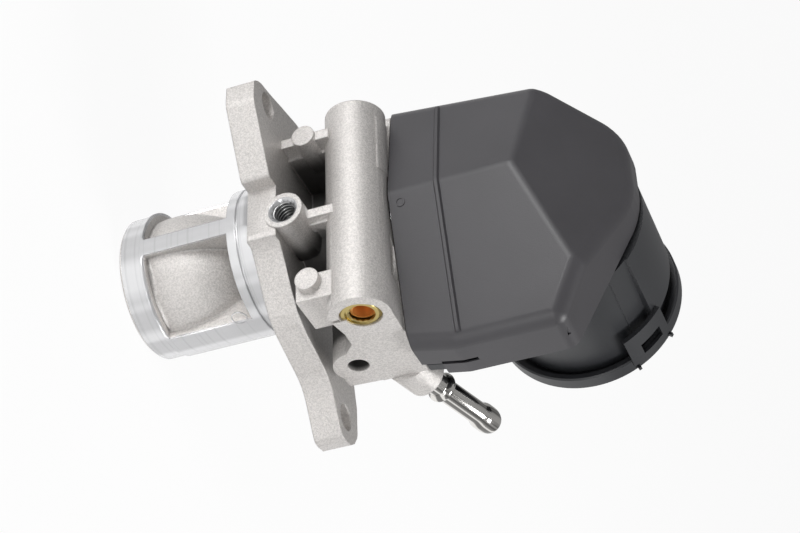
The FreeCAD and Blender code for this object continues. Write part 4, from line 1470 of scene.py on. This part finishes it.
@dataclass
class MotorHousing:
    """The plastic housing's tapered can and its end cap. Sizes are millimetres, turns are degrees."""

    shop: Workshop
    can_z: float = 78.2
    front_y: float = 17.2
    back_y: float = 58.6
    inner_r: float = 25.9
    front_r: float = 28.9
    back_r: float = 26.5
    proud_r: float = 29.45
    proud_turn: tuple[float, float] = (49.6, 131.0)
    proud_end: float = 49.6
    seam_turn: float = 34.0
    seam_depth: float = 0.18
    cap_front: float = 60.0
    cap_back: float = 62.6
    cap_r: float = 30.25
    ring_front: float = 57.0
    ring_r: float = 28.3
    tab_turn: tuple[float, float] = (24.7, 54.3)
    tab_radii: tuple[float, float] = (29.5, 30.9)
    window_turn: tuple[float, float] = (33.2, 48.4)
    nub_turns: tuple[float, float] = (26.7, 53.4)

    def build(self) -> None:
        """Dresses the housing, and makes the can's outside and the cap."""
        self.shop.dress("actuator_housing", "can")
        self.shop.add("can_outside", mesh_of("can outside", self.sleeve, 25.0), "can")
        piece = self.shop.add("end_cap", mesh_of("end cap", self.cap, 30.0), "can")
        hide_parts("motor_cap")

    def spot(self, r: float, turn: float, y: float) -> Vector:
        """Returns a point about the can's axis, in metres."""
        angle = math.radians(turn)
        return Vector((r * math.cos(angle), y, self.can_z + r * math.sin(angle))) * MM

    def turns(self) -> list[float]:
        """Returns the angles of the can's outside, closer together at its steps."""
        fine = {self.seam_turn + d for d in (-0.5, -0.2, 0.2, 0.5)}
        fine |= {turn + d for turn in self.proud_turn for d in (-0.25, 0.25)}
        return sorted({float(a) for a in range(0, 360, 2)} | fine)

    def outer_r(self, turn: float, y: float) -> float:
        """Returns the can's outer radius at an angle and a depth.

        Args:
            turn: The angle in degrees.
            y: The depth in millimetres.

        Returns:
            The radius in millimetres.
        """
        low, high = self.proud_turn
        if low < turn < high and y <= self.proud_end:
            return self.proud_r
        share = (y - self.front_y) / (self.back_y - self.front_y)
        plain = self.front_r + (self.back_r - self.front_r) * share
        return plain - self.seam_depth if abs(turn - self.seam_turn) < 0.3 else plain

    def sleeve(self, work: Work) -> None:
        """Makes the can's tapered outside with its proud upper part and its seam.

        Args:
            work: Where the form goes.
        """
        levels = [self.front_y + d for d in (0.0, 6.0, 12.0, 18.0, 24.0, 30.0)]
        levels += [self.proud_end, self.proud_end + 0.05, 54.0, self.back_y]
        rings = []
        for turn in self.turns():
            outside = [self.spot(self.outer_r(turn, y), turn, y) for y in levels]
            rings.append(outside + [self.spot(self.inner_r, turn, y) for y in (self.back_y, self.front_y)])
        skin(work, rings, closed=True)

    def curved_block(self, work: Work, turns: tuple[float, float], radii: tuple[float, float],
                     depths: tuple[float, float], steps: int) -> None:
        """Adds a block bent about the can's axis.

        Args:
            work: Where it goes.
            turns: Its first and last angle.
            radii: Its inner and outer radius.
            depths: Its first and last depth along Y.
            steps: Faces along the bend.
        """
        (low, high), (front, back) = radii, depths
        rings = []
        for i in range(steps + 1):
            turn = turns[0] + (turns[1] - turns[0]) * i / steps
            corners = ((low, front), (high, front), (high, back), (low, back))
            rings.append([self.spot(r, turn, y) for r, y in corners])
        skin(work, rings, closed=False)

    def cap(self, work: Work) -> None:
        """Turns the cap's cup, then adds its latch tab with the window and its two nubs.

        Args:
            work: Where the form goes.
        """
        front, back, r, ring = self.cap_front, self.cap_back, self.cap_r, self.ring_front
        profile = [(0.02, front), (self.ring_r, front), (self.ring_r, ring), (r - 0.5, ring), (r, ring + 0.5),
                   (r, back - 0.5), (r - 0.5, back), (24.0, back), (23.4, back - 0.6), (9.0, back - 0.6),
                   (8.4, back), (0.02, back)]
        steps = 120
        rings = [[self.spot(a, 360.0 * i / steps, b) for a, b in profile] for i in range(steps)]
        skin(work, rings, closed=True)
        low, high = self.tab_turn
        open_low, open_high = self.window_turn
        across = (open_low - 0.1, open_high + 0.1)
        for turns, depths, count in (((low, open_low), (46.0, 59.6), 5), ((open_high, high), (46.0, 59.6), 4),
                                     (across, (46.0, 52.2), 8), (across, (57.0, 59.6), 8)):
            self.curved_block(work, turns, self.tab_radii, depths, count)
        for turn in self.nub_turns:
            self.curved_block(work, (turn - 0.9, turn + 0.9), (29.6, 31.5), (60.6, 62.0), 2)


# Studio
@dataclass
class Studio:
    """Camera, lamps, floor and background."""

    eye: Vector = field(default_factory=lambda: Vector((321.85, -401.97, 179.36)) * MM)
    right: Vector = field(default_factory=lambda: Vector((0.034, 0.356, 0.934)))
    back: Vector = field(default_factory=lambda: Vector((0.585, -0.765, 0.27)))
    lens: float = 81.0
    floor_z: float = -44.0 * MM
    floor_side: float = 40.0
    floor_glow: float = 0.93
    ambient: float = 0.32
    centre: Vector = field(default_factory=lambda: Vector((8, 0, 35)) * MM)

    def build(self) -> None:
        """Makes the whole stage."""
        self.camera()
        self.floor()
        self.lamps()
        self.world()
        bpy.context.scene.view_settings.view_transform = "Standard"

    def axes(self) -> tuple[Vector, Vector, Vector]:
        """Returns the camera's right, up and backward directions."""
        back = self.back.normalized()
        right = (self.right - back * self.right.dot(back)).normalized()
        return right, back.cross(right), back

    def camera(self) -> None:
        """Places the camera at the photograph's viewing angle, rolled as it was."""
        right, up, back = self.axes()
        data = bpy.data.cameras.new("photo camera")
        data.sensor_width = 36.0
        data.lens = self.lens
        data.clip_start = 0.01
        camera = placed("photo camera", data)
        turn = Matrix((right, up, back)).transposed().to_4x4()
        camera.matrix_world = Matrix.Translation(self.eye) @ turn
        bpy.context.scene.camera = camera

    def floor(self) -> None:
        """Lays the pale floor that the valve stands on."""
        side = self.floor_side
        corners = [(-side, -side), (side, -side), (side, side), (-side, side)]

        def build(work: Work) -> None:
            """Makes one square."""
            work.faces.new([work.verts.new((x, y, self.floor_z)) for x, y in corners])

        floor = placed("floor", mesh_of("floor", build, None))
        material = bpy.data.materials.new("pale floor")
        material.use_nodes = True
        shader = Shader(material.node_tree)
        surface = shader.tree.nodes["Principled BSDF"]
        surface.inputs["Base Color"].default_value = grey(0.9)
        surface.inputs["Roughness"].default_value = 0.9
        glow = shader.node("ShaderNodeEmission")
        glow.inputs["Strength"].default_value = 1.0
        path = shader.node("ShaderNodeLightPath")
        rays = ("Camera", "Glossy", "Transmission")
        seen = shader.greatest(*(path.outputs[f"Is {ray} Ray"] for ray in rays))
        share = shader.product(seen, self.floor_glow)
        shader.cross_over(share, surface.outputs[0], glow.outputs[0], "Material Output")
        floor.data.materials.append(material)

    def lamp(self, name: str, aside: float, above: float, near: float, size: float, watts: float) -> None:
        """Places a soft lamp by the camera's own directions.

        Args:
            name: The lamp's name.
            aside: Metres to the camera's right.
            above: Metres along the camera's up.
            near: Metres toward the camera.
            size: The lamp's side.
            watts: Its power.
        """
        right, up, back = self.axes()
        data = bpy.data.lights.new(name, "AREA")
        data.size = size
        data.energy = watts
        away = right * aside + up * above + back * near
        placed(name, data).matrix_world = toward(away, self.centre + away)

    def lamps(self) -> None:
        """Places the key, fill and rim lamps."""
        self.lamp("key softbox", -0.35, 0.75, 0.55, 0.5, 8.0)
        self.lamp("front fill", -0.35, -0.3, 0.9, 0.5, 5.0)
        self.lamp("right strip", 0.8, -0.55, 0.3, 0.35, 6.0)

    def world(self) -> None:
        """Makes a white background and an even ambient light."""
        world = bpy.data.worlds.new("studio")
        bpy.context.scene.world = world
        world.use_nodes = True
        shader = Shader(world.node_tree)
        ambient = world.node_tree.nodes["Background"]
        white = shader.node("ShaderNodeBackground")
        for backdrop, strength in ((ambient, self.ambient), (white, 1.0)):
            backdrop.inputs["Color"].default_value = grey(1.0)
            backdrop.inputs["Strength"].default_value = strength
        seen = shader.node("ShaderNodeLightPath").outputs["Is Camera Ray"]
        shader.cross_over(seen, ambient.outputs[0], white.outputs[0], "World Output")


def main() -> None:
    """Builds the scene."""
    logging.basicConfig(level=logging.INFO, format="%(name)s %(message)s")
    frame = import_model()
    shop = Workshop(frame, Wardrobe())
    for assembly in (Casting(shop), Mechanism(shop), Hood(shop), MotorHousing(shop)):
        assembly.build()
        log.info("built %s", type(assembly).__name__)
    Studio().build()
    log.info("made %d pieces", shop.count)


if __name__ == "__main__":
    main()
